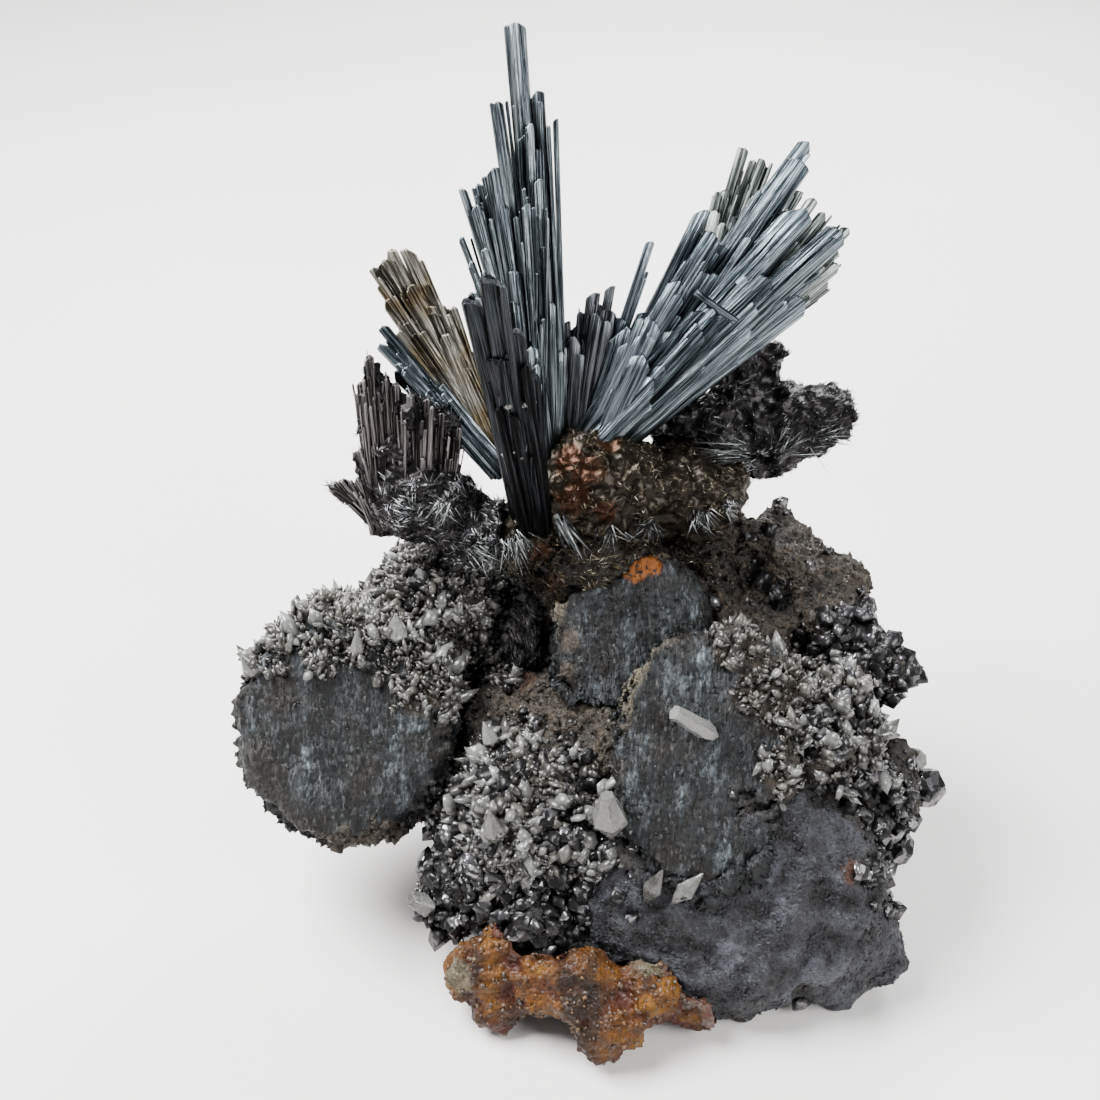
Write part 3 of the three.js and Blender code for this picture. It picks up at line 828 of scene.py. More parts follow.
def axes_along(along: Array, rng: np.random.Generator, facing: Array | None = None) -> Array:
    """Finds three axes for each row, the last of them along the given direction.

    Args:
        along: Unit rows.
        rng: The source of the spin about each direction.
        facing: Rows that the second axis turns towards, or None for any spin.

    Returns:
        One 3 by 3 block for each row: side, depth and along.
    """
    helper = rng.normal(size=along.shape) if facing is None else facing
    side = unit(np.cross(helper, along))
    return np.stack([side, np.cross(along, side), along], axis=1)


END = 0.9  # the share of a blade's height above which its end is cut aslant
FACE = 1.0005  # between a blade's worn rim, at height 1, and its raised end face
WEAR = 0.12  # how far the rim of a blade's end is worn down, in millimetres
GIRTH = 2.2  # a blade's girth as a share of its width and thickness together
TILE = 300  # each copy's map starts somewhere on a sheet of this size, in millimetres


def swarm(
    name: str,
    shape: Shape,
    origins: Array,
    axes: Array,
    sizes: Array,
    tones: Array,
    bent: Array | None = None,
    rust: Array | None = None,
) -> Piece:
    """Joins one copy of a shape for each row into one mesh.

    Args:
        name: The new object's name.
        shape: The shape to repeat.
        origins: Where each copy stands, in millimetres.
        axes: Each copy's side, depth and long axes.
        sizes: Each copy's width, thickness and length, in millimetres.
        tones: Each copy's shade, from 0 to 1.
        bent: Each copy's taper, end slope, sideways bend and end point, or None.
        rust: Each copy's iron stain, or None.

    Returns:
        The new object.
    """
    count, points = len(origins), len(shape.points)
    local = np.repeat(shape.points[None], count, axis=0)
    if bent is not None:
        height = local[:, :, 2]
        cut = local[:, :, 0] * bent[:, 1:2] - np.abs(local[:, :, 0]) * bent[:, 3:4]
        slope = np.where(height > END, cut * sizes[:, :1] / sizes[:, 2:], 0)
        rim = np.where((height > END) & (height < FACE), WEAR / sizes[:, 2:], 0)
        narrowed = 1 - bent[:, :1] * height
        local[:, :, 0] = local[:, :, 0] * narrowed + bent[:, 2:3] * height**2
        local[:, :, 1] = local[:, :, 1] * narrowed
        local[:, :, 2] = height + slope - rim
    placed = np.einsum("kni,kij->knj", local * sizes[:, None, :], axes) + origins[:, None, :]
    loops, faces = len(shape.corners), len(shape.starts)
    mesh = bpy.data.meshes.new(name)
    mesh.vertices.add(count * points)
    mesh.vertices.foreach_set("co", (placed * MM).ravel())
    mesh.loops.add(count * loops)
    numbers = np.arange(count)
    mesh.loops.foreach_set("vertex_index", (shape.corners[None] + points * numbers[:, None]).ravel())
    mesh.polygons.add(count * faces)
    mesh.polygons.foreach_set("loop_start", (shape.starts[None] + loops * numbers[:, None]).ravel())
    mesh.update(calc_edges=True)
    mesh.validate()
    scale = np.stack([GIRTH * (sizes[:, 0] + sizes[:, 1]), sizes[:, 2]], axis=1)
    # The shift gives each copy a stretch of the grooves of its own.
    shift = np.stack([17.3 * tones * numbers, 91.7 * tones], axis=1) % TILE
    uv = shape.uv[None] * scale[:, None] + shift[:, None]
    mesh.uv_layers.new(name="lath").data.foreach_set("uv", uv.astype(np.float32).ravel())
    piece = bpy.data.objects.new(name, mesh)
    bpy.context.scene.collection.objects.link(piece)
    store(piece, "tone", np.repeat(tones, points))
    if rust is not None:
        store(piece, Ground.RUST.value, np.repeat(rust, points))
    return piece


# ---------------------------------------------------------------------------------- rough pieces


@dataclass(frozen=True)
class Patch:
    """A ragged patch of one ground on a rough piece: its middle and its reach, in millimetres."""

    ground: Ground
    place: Triple
    reach: float


@dataclass(frozen=True)
class Bumps:
    """A layer of bumps: its noise, its size and height in millimetres, and the ground it is on."""

    grain: Grain
    size: float
    height: float
    ground: Ground | None = None


@dataclass
class RoughPiece:
    """A rough growth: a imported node's form with grain of every size and patches of other ground."""

    node: str
    name: str
    slot: Slot
    voxel: float
    bumps: list[Bumps]
    patches: list[Patch] = field(default_factory=list)
    pit_depth: float = 0.6
    rim_share: float | None = None
    melt: Ground | None = None
    piece: Piece | None = None

    def points(self) -> Array:
        """Returns the piece's points, in millimetres."""
        return read(self.piece.data.vertices, "co", 3) / MM

    def build(self) -> None:
        """Remeshes a copy of the node evenly, then raises its bumps and notes what covers it."""
        self.piece = copy_of(self.node, self.name)
        if self.melt:
            self.run_together(self.melt)
        finish_with(self.piece, "REMESH", mode="VOXEL", voxel_size=self.voxel * MM)
        finish_with(self.piece, "SMOOTH", factor=0.5, iterations=2)
        for ground in Ground:
            if ground is not Ground.PIT:
                store(self.piece, ground.value, self.cover(ground))
        groups = {layer.ground: self.group(layer.ground) for layer in self.bumps if layer.ground}
        for number, layer in enumerate(self.bumps):
            self.raise_bumps(layer, number, groups.get(layer.ground, ""))
        if self.melt:
            finish_with(self.piece, "SMOOTH", factor=0.5, iterations=5, vertex_group=self.group(self.melt))
        points = self.points()
        points[:, 2] = np.maximum(points[:, 2], 0)
        self.piece.data.vertices.foreach_set("co", (points * MM).ravel())
        self.piece.data.update()
        # The pit depth also sets where the finishes paint shade.
        store(self.piece, Ground.PIT.value, self.pits())
        self.piece.data.shade_smooth()

    def run_together(self, ground: Ground) -> None:
        """Fills the hollows between the lumps under one ground, so that its crust runs over them.

        Args:
            ground: The ground.
        """
        finish_with(self.piece, "REMESH", mode="VOXEL", voxel_size=1.1 * MM)
        store(self.piece, ground.value, self.cover(ground))
        group = self.group(ground)
        finish_with(self.piece, "SMOOTH", factor=0.6, iterations=12, vertex_group=group)
        finish_with(self.piece, "DISPLACE", strength=0.8 * MM, mid_level=0.0, vertex_group=group)
        self.piece.vertex_groups.clear()
        self.piece.data.attributes.remove(self.piece.data.attributes[ground.value])

    def cover(self, ground: Ground) -> Array:
        """Works out how far a ground covers each point.

        Args:
            ground: The ground.

        Returns:
            A number from 0 to 1 for each point, with ragged edges.
        """
        points = self.points()
        best = np.zeros(len(points))
        for patch in self.patches:
            if patch.ground is ground:
                gap = np.linalg.norm(points - np.array(patch.place), axis=1) / patch.reach
                edge = 0.22 * ragged(points, 0.3 * patch.reach) + 0.12 * ragged(points[:, ::-1], 0.9)
                best = np.maximum(best, np.clip((1.0 - gap + edge) / 0.25, 0, 1))
        if ground is Ground.RIM and self.rim_share:
            middle = points.mean(axis=0)
            some = points[:: max(1, len(points) // 4000)]
            flat = np.linalg.svd(some - middle, full_matrices=False)[2][:2]
            across = (points - middle) @ flat.T
            share = np.linalg.norm(across / np.percentile(np.abs(across), 99.5, axis=0), axis=1)
            past = share - self.rim_share + 0.06 * ragged(points, 2.4)
            best = np.maximum(best, np.clip(past / 0.12, 0, 1))
        return best

    def group(self, ground: Ground) -> str:
        """Makes a vertex group of a ground, in sixteen steps of weight, and returns its name."""
        group = self.piece.vertex_groups.new(name=f"on {ground.value}")
        cover = read(self.piece.data.attributes[ground.value].data, "value", 1)[:, 0]
        levels = np.round(cover * 16).astype(int)
        for level in range(1, 17):
            group.add(np.flatnonzero(levels == level).tolist(), level / 16, "REPLACE")
        return group.name

    def raise_bumps(self, layer: Bumps, number: int, group: str) -> None:
        """Displaces the surface by one layer of noise.

        Args:
            layer: The layer of bumps.
            number: Its place in the list, which names its texture.
            group: The vertex group that it is kept to, or nothing.
        """
        texture = bpy.data.textures.new(f"{self.name} bumps {number}", "CLOUDS")
        texture.noise_basis = layer.grain.value
        texture.noise_scale = layer.size * MM
        texture.noise_depth = 1
        settings = {"texture": texture, "strength": layer.height * MM, "mid_level": 0.3}
        finish_with(self.piece, "DISPLACE", vertex_group=group, texture_coords="LOCAL", **settings)

    def pits(self) -> Array:
        """Finds how deep each point lies under the mean surface round it, as a share of pit_depth."""
        mesh = self.piece.data
        points = self.points()
        edges = read(mesh.edges, "vertices", 2, np.int32)
        ends = np.concatenate([edges[:, 0], edges[:, 1]])
        others = np.concatenate([edges[:, 1], edges[:, 0]])
        count = np.maximum(np.bincount(ends, minlength=len(points)), 1)
        mean = points.copy()
        for _ in range(24):
            sums = [np.bincount(ends, mean[others, axis], len(points)) for axis in range(3)]
            mean = np.stack(sums, axis=1) / count[:, None]
        normals = read(mesh.vertices, "normal", 3)
        depth = np.einsum("ij,ij->i", mean - points, normals)
        return np.clip(depth / self.pit_depth, 0, 1)

    def dress(self, material: Material) -> None:
        """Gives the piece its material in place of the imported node."""
        deliver(self.piece, self.slot, material, self.node)


@dataclass
class Skin:
    """The finished surface of a piece, as places where small crystals can stand."""

    centres: Array
    normals: Array
    areas: Array
    covers: dict[Ground, Array]

    @classmethod
    def of(cls, piece: Piece) -> Skin:
        """Reads a piece's triangles.

        Args:
            piece: The finished piece.

        Returns:
            Its skin, in millimetres.
        """
        mesh = piece.data
        mesh.calc_loop_triangles()
        corners = read(mesh.loop_triangles, "vertices", 3, np.int32)
        points = read(mesh.vertices, "co", 3) / MM
        normals = unit(read(mesh.vertices, "normal", 3)[corners].mean(axis=1))
        areas = read(mesh.loop_triangles, "area", 1)[:, 0] / MM**2
        covers = {}
        for ground in Ground:
            if ground.value in mesh.attributes:
                values = read(mesh.attributes[ground.value].data, "value", 1)[:, 0]
                covers[ground] = values[corners].mean(axis=1)
        return cls(points[corners].mean(axis=1), normals, areas, covers)

    def pick(self, count: int, weight: Array, rng: np.random.Generator) -> Array:
        """Picks triangles at random, more often where the weight is high.

        Args:
            count: How many to pick.
            weight: One number of 0 or more for each triangle.
            rng: The random source.

        Returns:
            The picked triangles' numbers.
        """
        chance = np.maximum(weight, 0) * self.areas
        return rng.choice(len(self.areas), size=count, p=chance / chance.sum())


@dataclass(frozen=True)
class Druse:
    """A druse: many small crystals of one shape on part of a rough piece's skin."""

    name: str
    slot: Slot
    shape: Shape
    count: int
    length: Span
    stout: Span
    lean: float
    sink: float
    weight: Array
    rise: float = 0.0
    cluster: int = 1
    thick: Span = (0.7, 1.0)

    def grow(self, skin: Skin, material: Material, seed: int) -> None:
        """Grows the crystals, in clusters if asked, and gives them their material.

        Args:
            skin: The surface that they stand on.
            material: Their material.
            seed: The random seed.
        """
        rng = np.random.default_rng(seed)
        weight = self.weight * (skin.centres[:, 2] > 0.8)
        found = np.repeat(skin.pick(self.count // self.cluster, weight, rng), self.cluster)
        normals, count = skin.normals[found], len(found)
        along = unit(normals + self.lean * rng.normal(size=normals.shape) + np.array([0, 0, self.rise]))
        # Most crystals are small, and those of one cluster stand a little apart.
        low, high = self.length
        length = low + (high - low) * rng.random(count) ** (2.6 if self.cluster == 1 else 1.6)
        wide = length * rng.uniform(*self.stout, count)
        sizes = np.stack([wide, wide * rng.uniform(*self.thick, count), length], axis=1)
        apart = rng.normal(0, 0.35 if self.cluster > 1 else 0.01, (count, 3))
        origins = skin.centres[found] + apart - self.sink * length[:, None] * along
        tones = rng.random(count) ** 1.5
        piece = swarm(self.name, self.shape, origins, axes_along(along, rng), sizes, tones)
        if self.slot in (Slot.HOST_ROCK, Slot.GREY_CRUST):
            for ground in (Ground.EARTH, Ground.CRUST, Ground.RIM):
                store(piece, ground.value, np.repeat(skin.covers[ground][found], len(self.shape.points)))
        deliver(piece, self.slot, material)


@dataclass(frozen=True)
class Felt:
    """A felt of fine needles, grown as many small sprays that lie over one another."""

    name: str
    slot: Slot
    count: int
    sprays: int
    length: Span
    width: Span
    lift: float = 0.35
    fan: float = 0.35
    loose: float = 0.25
    highest: float = 0.14
    comb: Triple = (0, 0, 0)
    out_from: Triple | None = None
    tones: Span = (0.0, 1.0)
    weight: Callable[[Skin], Array] = lambda skin: np.ones(len(skin.areas))

    def grow(self, skin: Skin, shape: Shape, material: Material, seed: int) -> None:
        """Grows the needles and gives them their material.

        Args:
            skin: The surface that they grow from.
            shape: One needle.
            material: Their material.
            seed: The random seed.
        """
        rng = np.random.default_rng(seed)
        weight = self.weight(skin) * (skin.centres[:, 2] > 1.5)
        hearts = skin.pick(self.sprays, weight, rng)
        found = skin.pick(self.count, weight, rng)
        centres, normals = skin.centres[found], skin.normals[found]
        near = np.array([np.argmin(((skin.centres[hearts] - spot) ** 2).sum(axis=1)) for spot in centres])
        main = unit(rng.normal(size=(self.sprays, 3))) + self.lift * skin.normals[hearts]
        main += np.array(self.comb)
        if self.out_from:
            main += 1.2 * unit(skin.centres[hearts] - np.array(self.out_from))
        spread = centres - skin.centres[hearts][near]
        along = unit(unit(main)[near] + self.fan * spread + self.loose * rng.normal(size=centres.shape))
        # No needle dives into the surface or stands up far from it.
        rise = np.einsum("ij,ij->i", along, normals)
        along = unit(along + (np.clip(rise, 0.08, self.highest) - rise)[:, None] * normals)
        length = self.length[0] + (self.length[1] - self.length[0]) * rng.random(self.count) ** 1.8
        wide = rng.uniform(*self.width, self.count)
        sizes = np.stack([wide, wide, length], axis=1)
        origins = centres - 0.1 * normals - 0.25 * length[:, None] * along
        low, high = self.tones
        shade = 0.75 * rng.random(self.count) ** 2.2 + 0.25 * rng.random(self.sprays)[near]
        tones = low + (high - low) * shade
        rust = skin.covers[Ground.RUST][found] * rng.random(self.count) ** 0.7
        piece = swarm(self.name, shape, origins, axes_along(along, rng), sizes, tones, rust=rust)
        deliver(piece, self.slot, material)


# ---------------------------------------------------------------------------------- blades


@dataclass(frozen=True)
class Sheaf:
    """A sheaf of grooved blades that spread from one root, leaning back or forward.

    Each row of blades has its foot's offsets across, up and in depth, its lean in degrees, and its
    length, width and thickness. All but the lean are in millimetres.
    """

    node: str
    name: str
    slot: Slot
    root: Triple
    back: float
    rows: tuple[tuple[float, ...], ...]
    filler: int = 40
    splinters: int = 60
    broad: Span = (0.7, 1.8)
    reach: Span = (0.25, 0.95)

    def frame(self) -> Array:
        """Returns the sheaf's across, up and depth directions as rows."""
        turn = math.radians(self.back)
        sine, cosine = math.sin(turn), math.cos(turn)
        return np.array([[1, 0, 0], [0, sine, cosine], [0, cosine, -sine]])

    def blades(self, rng: np.random.Generator) -> list[list[float]]:
        """Builds each row's own blade and the narrower ones grown against its faces.

        Args:
            rng: The random source.

        Returns:
            A row for each blade: across, up, depth, lean, length, width, thickness and tone.
        """
        found = []
        for across, up, depth, lean, length, width, thick in self.rows:
            turn = math.radians(lean)
            tone = rng.uniform(0.3, 0.8)
            found.append([across, up, depth, lean, length, width * 0.94, thick * 0.85, tone])
            for _ in range(max(2, round(2.2 * width))):
                side = rng.uniform(-0.5, 0.5) * width
                found.append(
                    [
                        across + side * math.cos(turn),
                        up - side * math.sin(turn),
                        depth + rng.uniform(-0.5, 0.35) * thick,
                        lean + rng.normal(0, 0.3),
                        length * (1 - 0.6 * rng.random() ** 1.5),
                        width * rng.uniform(0.2, 0.45),
                        thick * rng.uniform(0.35, 0.6),
                        np.clip(tone + rng.normal(0, 0.22), 0, 1),
                    ]
                )
        return found

    def between(self, rng: np.random.Generator) -> list[float]:
        """Places a blade between two neighbouring rows; returns a row as blades() gives them."""
        main = sorted((row for row in self.rows if abs(row[3]) < 90), key=lambda row: row[3])
        first = rng.integers(0, len(main) - 1)
        share = rng.random()
        row = [a * (1 - share) + b * share for a, b in zip(main[first], main[first + 1])]
        row[4] = min(main[first][4], main[first + 1][4])
        return [*row, rng.random()]

    def lesser(self, rng: np.random.Generator) -> list[list[float]]:
        """Makes the lesser blades that fill the sheaf, and its splinters.

        Args:
            rng: The random source.

        Returns:
            Rows as blades() gives them.
        """
        found = []
        for number in range(self.filler + self.splinters):
            row = self.between(rng)
            thin = number >= self.filler
            row[0] += rng.normal(0, 0.4)
            row[2] += rng.uniform(-1.2, 1.0)
            row[3] += rng.normal(0, 2.2 if thin else 0.9)
            row[4] *= rng.uniform(*self.reach)
            row[5] = rng.uniform(0.16, 0.36) if thin else rng.uniform(*self.broad)
            row[6] = rng.uniform(0.15, 0.3) if thin else rng.uniform(0.5, 1.0)
            found.append(row)
        return found

    def build(self, shape: Shape, material: Material, seed: int) -> Piece:
        """Builds the sheaf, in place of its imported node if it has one.

        Args:
            shape: One blade.
            material: The blades' material.
            seed: The random seed.

        Returns:
            The new object.
        """
        rng = np.random.default_rng(seed)
        rows = np.array(self.blades(rng) + self.lesser(rng))
        axes = self.frame()
        origins = np.array(self.root) + rows[:, :3] @ axes
        lean = np.radians(rows[:, 3])
        along = np.sin(lean)[:, None] * axes[0] + np.cos(lean)[:, None] * axes[1]
        along = unit(along + 0.008 * rng.normal(size=along.shape))
        facing = axes[2] + rng.normal(0, 0.2, len(rows))[:, None] * np.cross(along, axes[2])
        sizes = np.stack([rows[:, 5], rows[:, 6], rows[:, 4]], axis=1)
        taper, slope = rng.uniform(0.0, 0.12, len(rows)), rng.uniform(-0.6, 0.6, len(rows))
        bend, point = rng.normal(0, 0.12, len(rows)), rng.uniform(0.2, 0.9, len(rows))
        bent = np.stack([taper, slope, bend, point], axis=1)
        piece = swarm(self.name, shape, origins, axes_along(along, rng, facing), sizes, rows[:, 7], bent)
        deliver(piece, self.slot, material, *([self.node] if self.node else []))
        return piece


@dataclass(frozen=True)
class NeedleFan:
    """A small fan of clean needles that lies on a felt and spreads from one point."""

    place: Triple
    towards: Triple
    facing: Triple
    length: float
    spread: float = 28.0
    count: int = 70
    width: Span = (0.07, 0.16)

    def needles(self, rng: np.random.Generator) -> tuple[Array, Array, Array]:
        """Works out each needle's foot, direction and sizes, in millimetres.

        Args:
            rng: The random source.

        Returns:
            The feet, the directions and the sizes.
        """
        main, out = unit(np.array([self.towards, self.facing], dtype=float))
        side = np.cross(main, out)
        turn = np.radians(rng.normal(0, 0.7 * self.spread, self.count))
        along = np.cos(turn)[:, None] * main + np.sin(turn)[:, None] * side
        along += rng.normal(0, 0.1, (self.count, 1)) * out
        length = self.length * rng.uniform(0.25, 1.0, self.count)
        wide = rng.uniform(*self.width, self.count)
        scatter = 0.45 * rng.normal(size=(self.count, 3))
        feet = np.array(self.place) + scatter + 0.25 * length[:, None] * along
        return feet, unit(along), np.stack([wide, wide, length], axis=1)


# ---------------------------------------------------------------------------------- single crystals


@dataclass(frozen=True)
class SingleCrystal:
    """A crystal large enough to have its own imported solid, given worn edges and uneven faces."""

    node: str
    slot: Slot
    edge: float
    swell: float
    swell_size: float

    def build(self, material: Material, tone: float) -> None:
        """Bevels and roughens a copy of the node.

        Args:
            material: The crystal's material.
            tone: Its shade, from 0 to 1.
        """
        piece = copy_of(self.node, f"{self.node}_crystal")
        edges = {"width": self.edge * MM, "limit_method": "ANGLE", "angle_limit": math.radians(20)}
        finish_with(piece, "BEVEL", segments=2, **edges)
        finish_with(piece, "TRIANGULATE")
        finish_with(piece, "SUBSURF", subdivision_type="SIMPLE", levels=2, render_levels=2)
        texture = bpy.data.textures.new(f"{self.node} swells", "CLOUDS")
        texture.noise_scale = self.swell_size * MM
        settings = {"texture": texture, "strength": self.swell * MM, "texture_coords": "LOCAL"}
        finish_with(piece, "DISPLACE", **settings)
        alone(piece)
        bpy.ops.object.shade_smooth_by_angle(angle=math.radians(24))
        store(piece, "tone", np.full(len(piece.data.vertices), tone))
        deliver(piece, self.slot, material, self.node)


# ---------------------------------------------------------------------------------- the studio


@dataclass(frozen=True)
class Studio:
    """A pale sweep under soft light, with the camera above and in front of the specimen."""

    target: Triple = (-5.0, 7.5, 44.0)
    elevation: float = 38.0
    distance: float = 180.0
    lens: float = 53.0

    def build(self) -> None:
        """Builds the floor, the lights, the world and the camera."""
        self.sweep()
        self.world()
        self.light("key", (-200, 40, 330), 230, 7.5)
        self.light("fill", (260, -160, 220), 200, 2.0)
        self.light("back", (90, 280, 240), 180, 2.6)
        self.camera()

    def sweep(self) -> None:
        """Builds a floor that curves up behind the specimen."""
        bpy.ops.object.select_all(action="DESELECT")
        bpy.ops.mesh.primitive_plane_add(size=1.6, location=(0, 0.1, 0))
        floor = bpy.context.active_object
        floor.name = "studio_sweep"
        bpy.ops.object.transform_apply(location=True)
        for edge in floor.data.edges:
            edge.select = all(floor.data.vertices[v].co.y > 0.5 for v in edge.vertices)
        for point in floor.data.vertices:
            point.select = point.co.y > 0.5
        for face in floor.data.polygons:
            face.select = False
        bpy.ops.object.mode_set(mode="EDIT")
        bpy.ops.mesh.extrude_region_move(TRANSFORM_OT_translate={"value": (0, 0.1, 1.0)})
        bpy.ops.object.mode_set(mode="OBJECT")
        finish_with(floor, "BEVEL", width=0.4, segments=16, limit_method="ANGLE")
        floor.data.shade_smooth()
        material, shader = surface("matt painted board", Roughness=0.75)
        tree = material.node_tree
        place = add_node(tree, "ShaderNodeTexCoord").outputs["Object"]
        colour = clouded(tree, place, 60, 3, 0.5, [(0.0, "#d8d5d2"), (1.0, "#e2dfdd")])
        tree.links.new(colour, shader.inputs["Base Color"])
        floor.data.materials.append(material)

    def world(self) -> None:
        """Lights the scene evenly from all round with pale grey."""
        world = bpy.data.worlds.new("soft room")
        bpy.context.scene.world = world
        world.use_nodes = True
        background = world.node_tree.nodes["Background"]
        background.inputs["Color"].default_value = linear("#e9eaee")
        background.inputs["Strength"].default_value = 0.3

    def light(self, name: str, place: Triple, size: float, power: float) -> None:
        """Adds one square lamp that faces the specimen.

        Args:
            name: The lamp's name.
            place: Its place, in millimetres.
            size: Its side, in millimetres.
            power: Its power, in watts.
        """
        lamp = bpy.data.lights.new(name, "AREA")
        lamp.size = size * MM
        lamp.energy = power
        holder = bpy.data.objects.new(name, lamp)
        bpy.context.scene.collection.objects.link(holder)
        holder.location = Vector(place) * MM
        aim = (Vector(self.target) - Vector(place)).to_track_quat("-Z", "Y")
        holder.rotation_euler = aim.to_euler()

    def camera(self) -> None:
        """Adds the camera."""
        camera = bpy.data.cameras.new("camera")
        camera.lens = self.lens
        camera.sensor_width = 36
        camera.clip_start = 0.005
        holder = bpy.data.objects.new("camera", camera)
        bpy.context.scene.collection.objects.link(holder)
        turn = math.radians(self.elevation)
        away = Vector((0, -math.cos(turn), math.sin(turn))) * self.distance
        holder.location = (Vector(self.target) + away) * MM
        holder.rotation_euler = (math.radians(90 - self.elevation), 0, 0)
        bpy.context.scene.camera = holder


# ---------------------------------------------------------------------------------- the specimen


@dataclass
class Shapes:
    """The small shapes that repeat, each modelled once."""

    lath: Shape = field(default_factory=Shape.lath)
    needle: Shape = field(default_factory=Shape.needle)
    dogtooth: Shape = field(default_factory=Shape.dogtooth)
    block: Shape = field(default_factory=Shape.block)
    grain: Shape = field(default_factory=Shape.grain)


def made(finish: Finish) -> Field:
    """Returns a dataclass field whose value is the finish's material."""
    return field(default_factory=finish.make)


@dataclass
class Finishes:
    """Every material of the specimen, each made once."""

    rock: Material = made(RockFinish())
    crust: Material = made(CrustFinish("sugary sulphide crust", "#34322f"))
    # The discs' crust: its pale rim colour is kept only along the upper edge.
    worn: Material = made(CrustFinish("pale-rimmed sulphide crust", "#6a6153"))
    amber: Material = made(AmberFinish())
    sphalerite: Material = made(SphaleriteFinish())
    white: Material = made(CalciteFinish("white calcite", "#43423f", "#a5a5a3", 0.55))
    druse: Material = made(CalciteFinish("grey calcite druse", "#1f1c18", "#807d77", 0.5, 0.3))
    honey: Material = made(CalciteFinish("honey calcite grains", "#1f0f03", "#6b440a", 0.3, 0.45))
    steel: Material = made(StibniteFinish("steel-grey stibnite", "#111314", "#454c51", "#98a0a4"))
    bronze: Material = made(
        StibniteFinish("bronze-tarnished stibnite", "#121110", "#45433e", "#9a978d", 0.3, "#7d6a3c", 0.75)
    )
    blue: Material = made(StibniteFinish("blue-tarnished stibnite", "#0c0e10", "#394146", "#8c969c"))
    bright: Material = made(StibniteFinish("bright thin stibnite", "#1c1f1f", "#5b615f", "#a3a8a5", 0.34))
    # Its near-black is painted shade: a dark reflection painted into the metal's colour, used on the front
    # blades.
    dark_reflection: Material = made(StibniteFinish("stibnite with painted dark reflection", "#070708", "#17181a", "#3a3e42", 0.42))
    purple: Material = made(
        StibniteFinish("purple-tarnished stibnite", "#131212", "#3f3b3b", "#8f8b8b", 0.36)
    )
    dull: Material = made(StibniteFinish("dull dark stibnite", "#0b0b0d", "#26282b", "#767a7e", 0.38))
    felt: Material = made(
        NeedleFinish(
            "tarnished needle felt",
            ((0.0, "#100e0b"), (1.0, "#b4b2a6"), (0.36, "#2f281d"), (0.68, "#6a604b")),
        )
    )
    dark_felt: Material = made(
        NeedleFinish(
            "dark needle felt",
            ((0.0, "#100f10"), (1.0, "#bcbfc2"), (0.36, "#302d2f"), (0.68, "#706e71")),
        )
    )
    silver: Material = made(
        NeedleFinish("clean needles", ((0.0, "#121213"), (1.0, "#a9adad"), (0.5, "#4b4e4f")))
    )


def patches(ground: Ground, reach: float, *places: Triple) -> list[Patch]:
    """Returns patches of one ground and one reach, one at each place."""
    return [Patch(ground, place, reach) for place in places]


ROCK_PATCHES = [
    *patches(
        Ground.DRUSE, 6.5, (-22.6, 14, 37), (-17.5, 8, 38), (-13, 9, 36), (-24.7, 9.7, 33),
        (-10.8, 8, 30.5), (-18, 22, 33), (10, 27, 20),
    ),
    *patches(
        Ground.SUGAR, 6, (-16.3, -7, 19.5), (-10.5, -8, 27), (-5, -11.2, 25.4), (-1, -15, 22.5),
        (-12.7, -15.6, 19), (-3.9, -16, 21), (27.7, -6.5, 31.4), (24.5, -4, 33.6), (30, -9, 28),
        (28, 4, 30.5),
    ),
    *patches(
        Ground.GLINT, 5.5, (-18, -11, 13.5), (-16.2, -16.2, 12.2), (-10.5, -17, 13.3), (-3.9, -18, 13.5),
        (0.5, -17.5, 15), (34, 2, 28.5), (33, -11, 16.5), (31.6, -10, 22), (30, 6, 31), (31.5, -15, 15),
        (-27, 15, 28), (28, 20, 14),
    ),
    *patches(
        Ground.CRUST, 9, (11.4, -20.5, 13.3), (19, -20.6, 13.4), (26.8, -20.7, 11.8), (22, -16.6, 20),
        (15.8, -23.7, 7.8), (31, -20.7, 4.7), (6, -19, 13),
    ),
    *patches(
        Ground.EARTH, 6, (22.5, 10.4, 38), (19.2, 14, 41.8), (25.8, 6.4, 34.7), (14.6, 10, 36.2),
        (30, 15, 36), (26, 14, 41), (-8.4, -3, 28), (-3.9, -6.2, 28.5), (0, 20, 40), (-5, 28, 25),
        (25, 25, 20),
    ),
    *patches(Ground.RUST, 1.6, (-7.8, 1.7, 29.8), (-15.1, -6, 22.4), (-9.5, 6, 33), (-5, 5.5, 41)),
    Patch(Ground.RUST, (27.7, -17.1, 18.9), 1.5),
    *patches(Ground.FELT, 6, (-4, 6, 42), (3, 6.5, 44), (10, 11, 42), (0, 14, 46)),
]


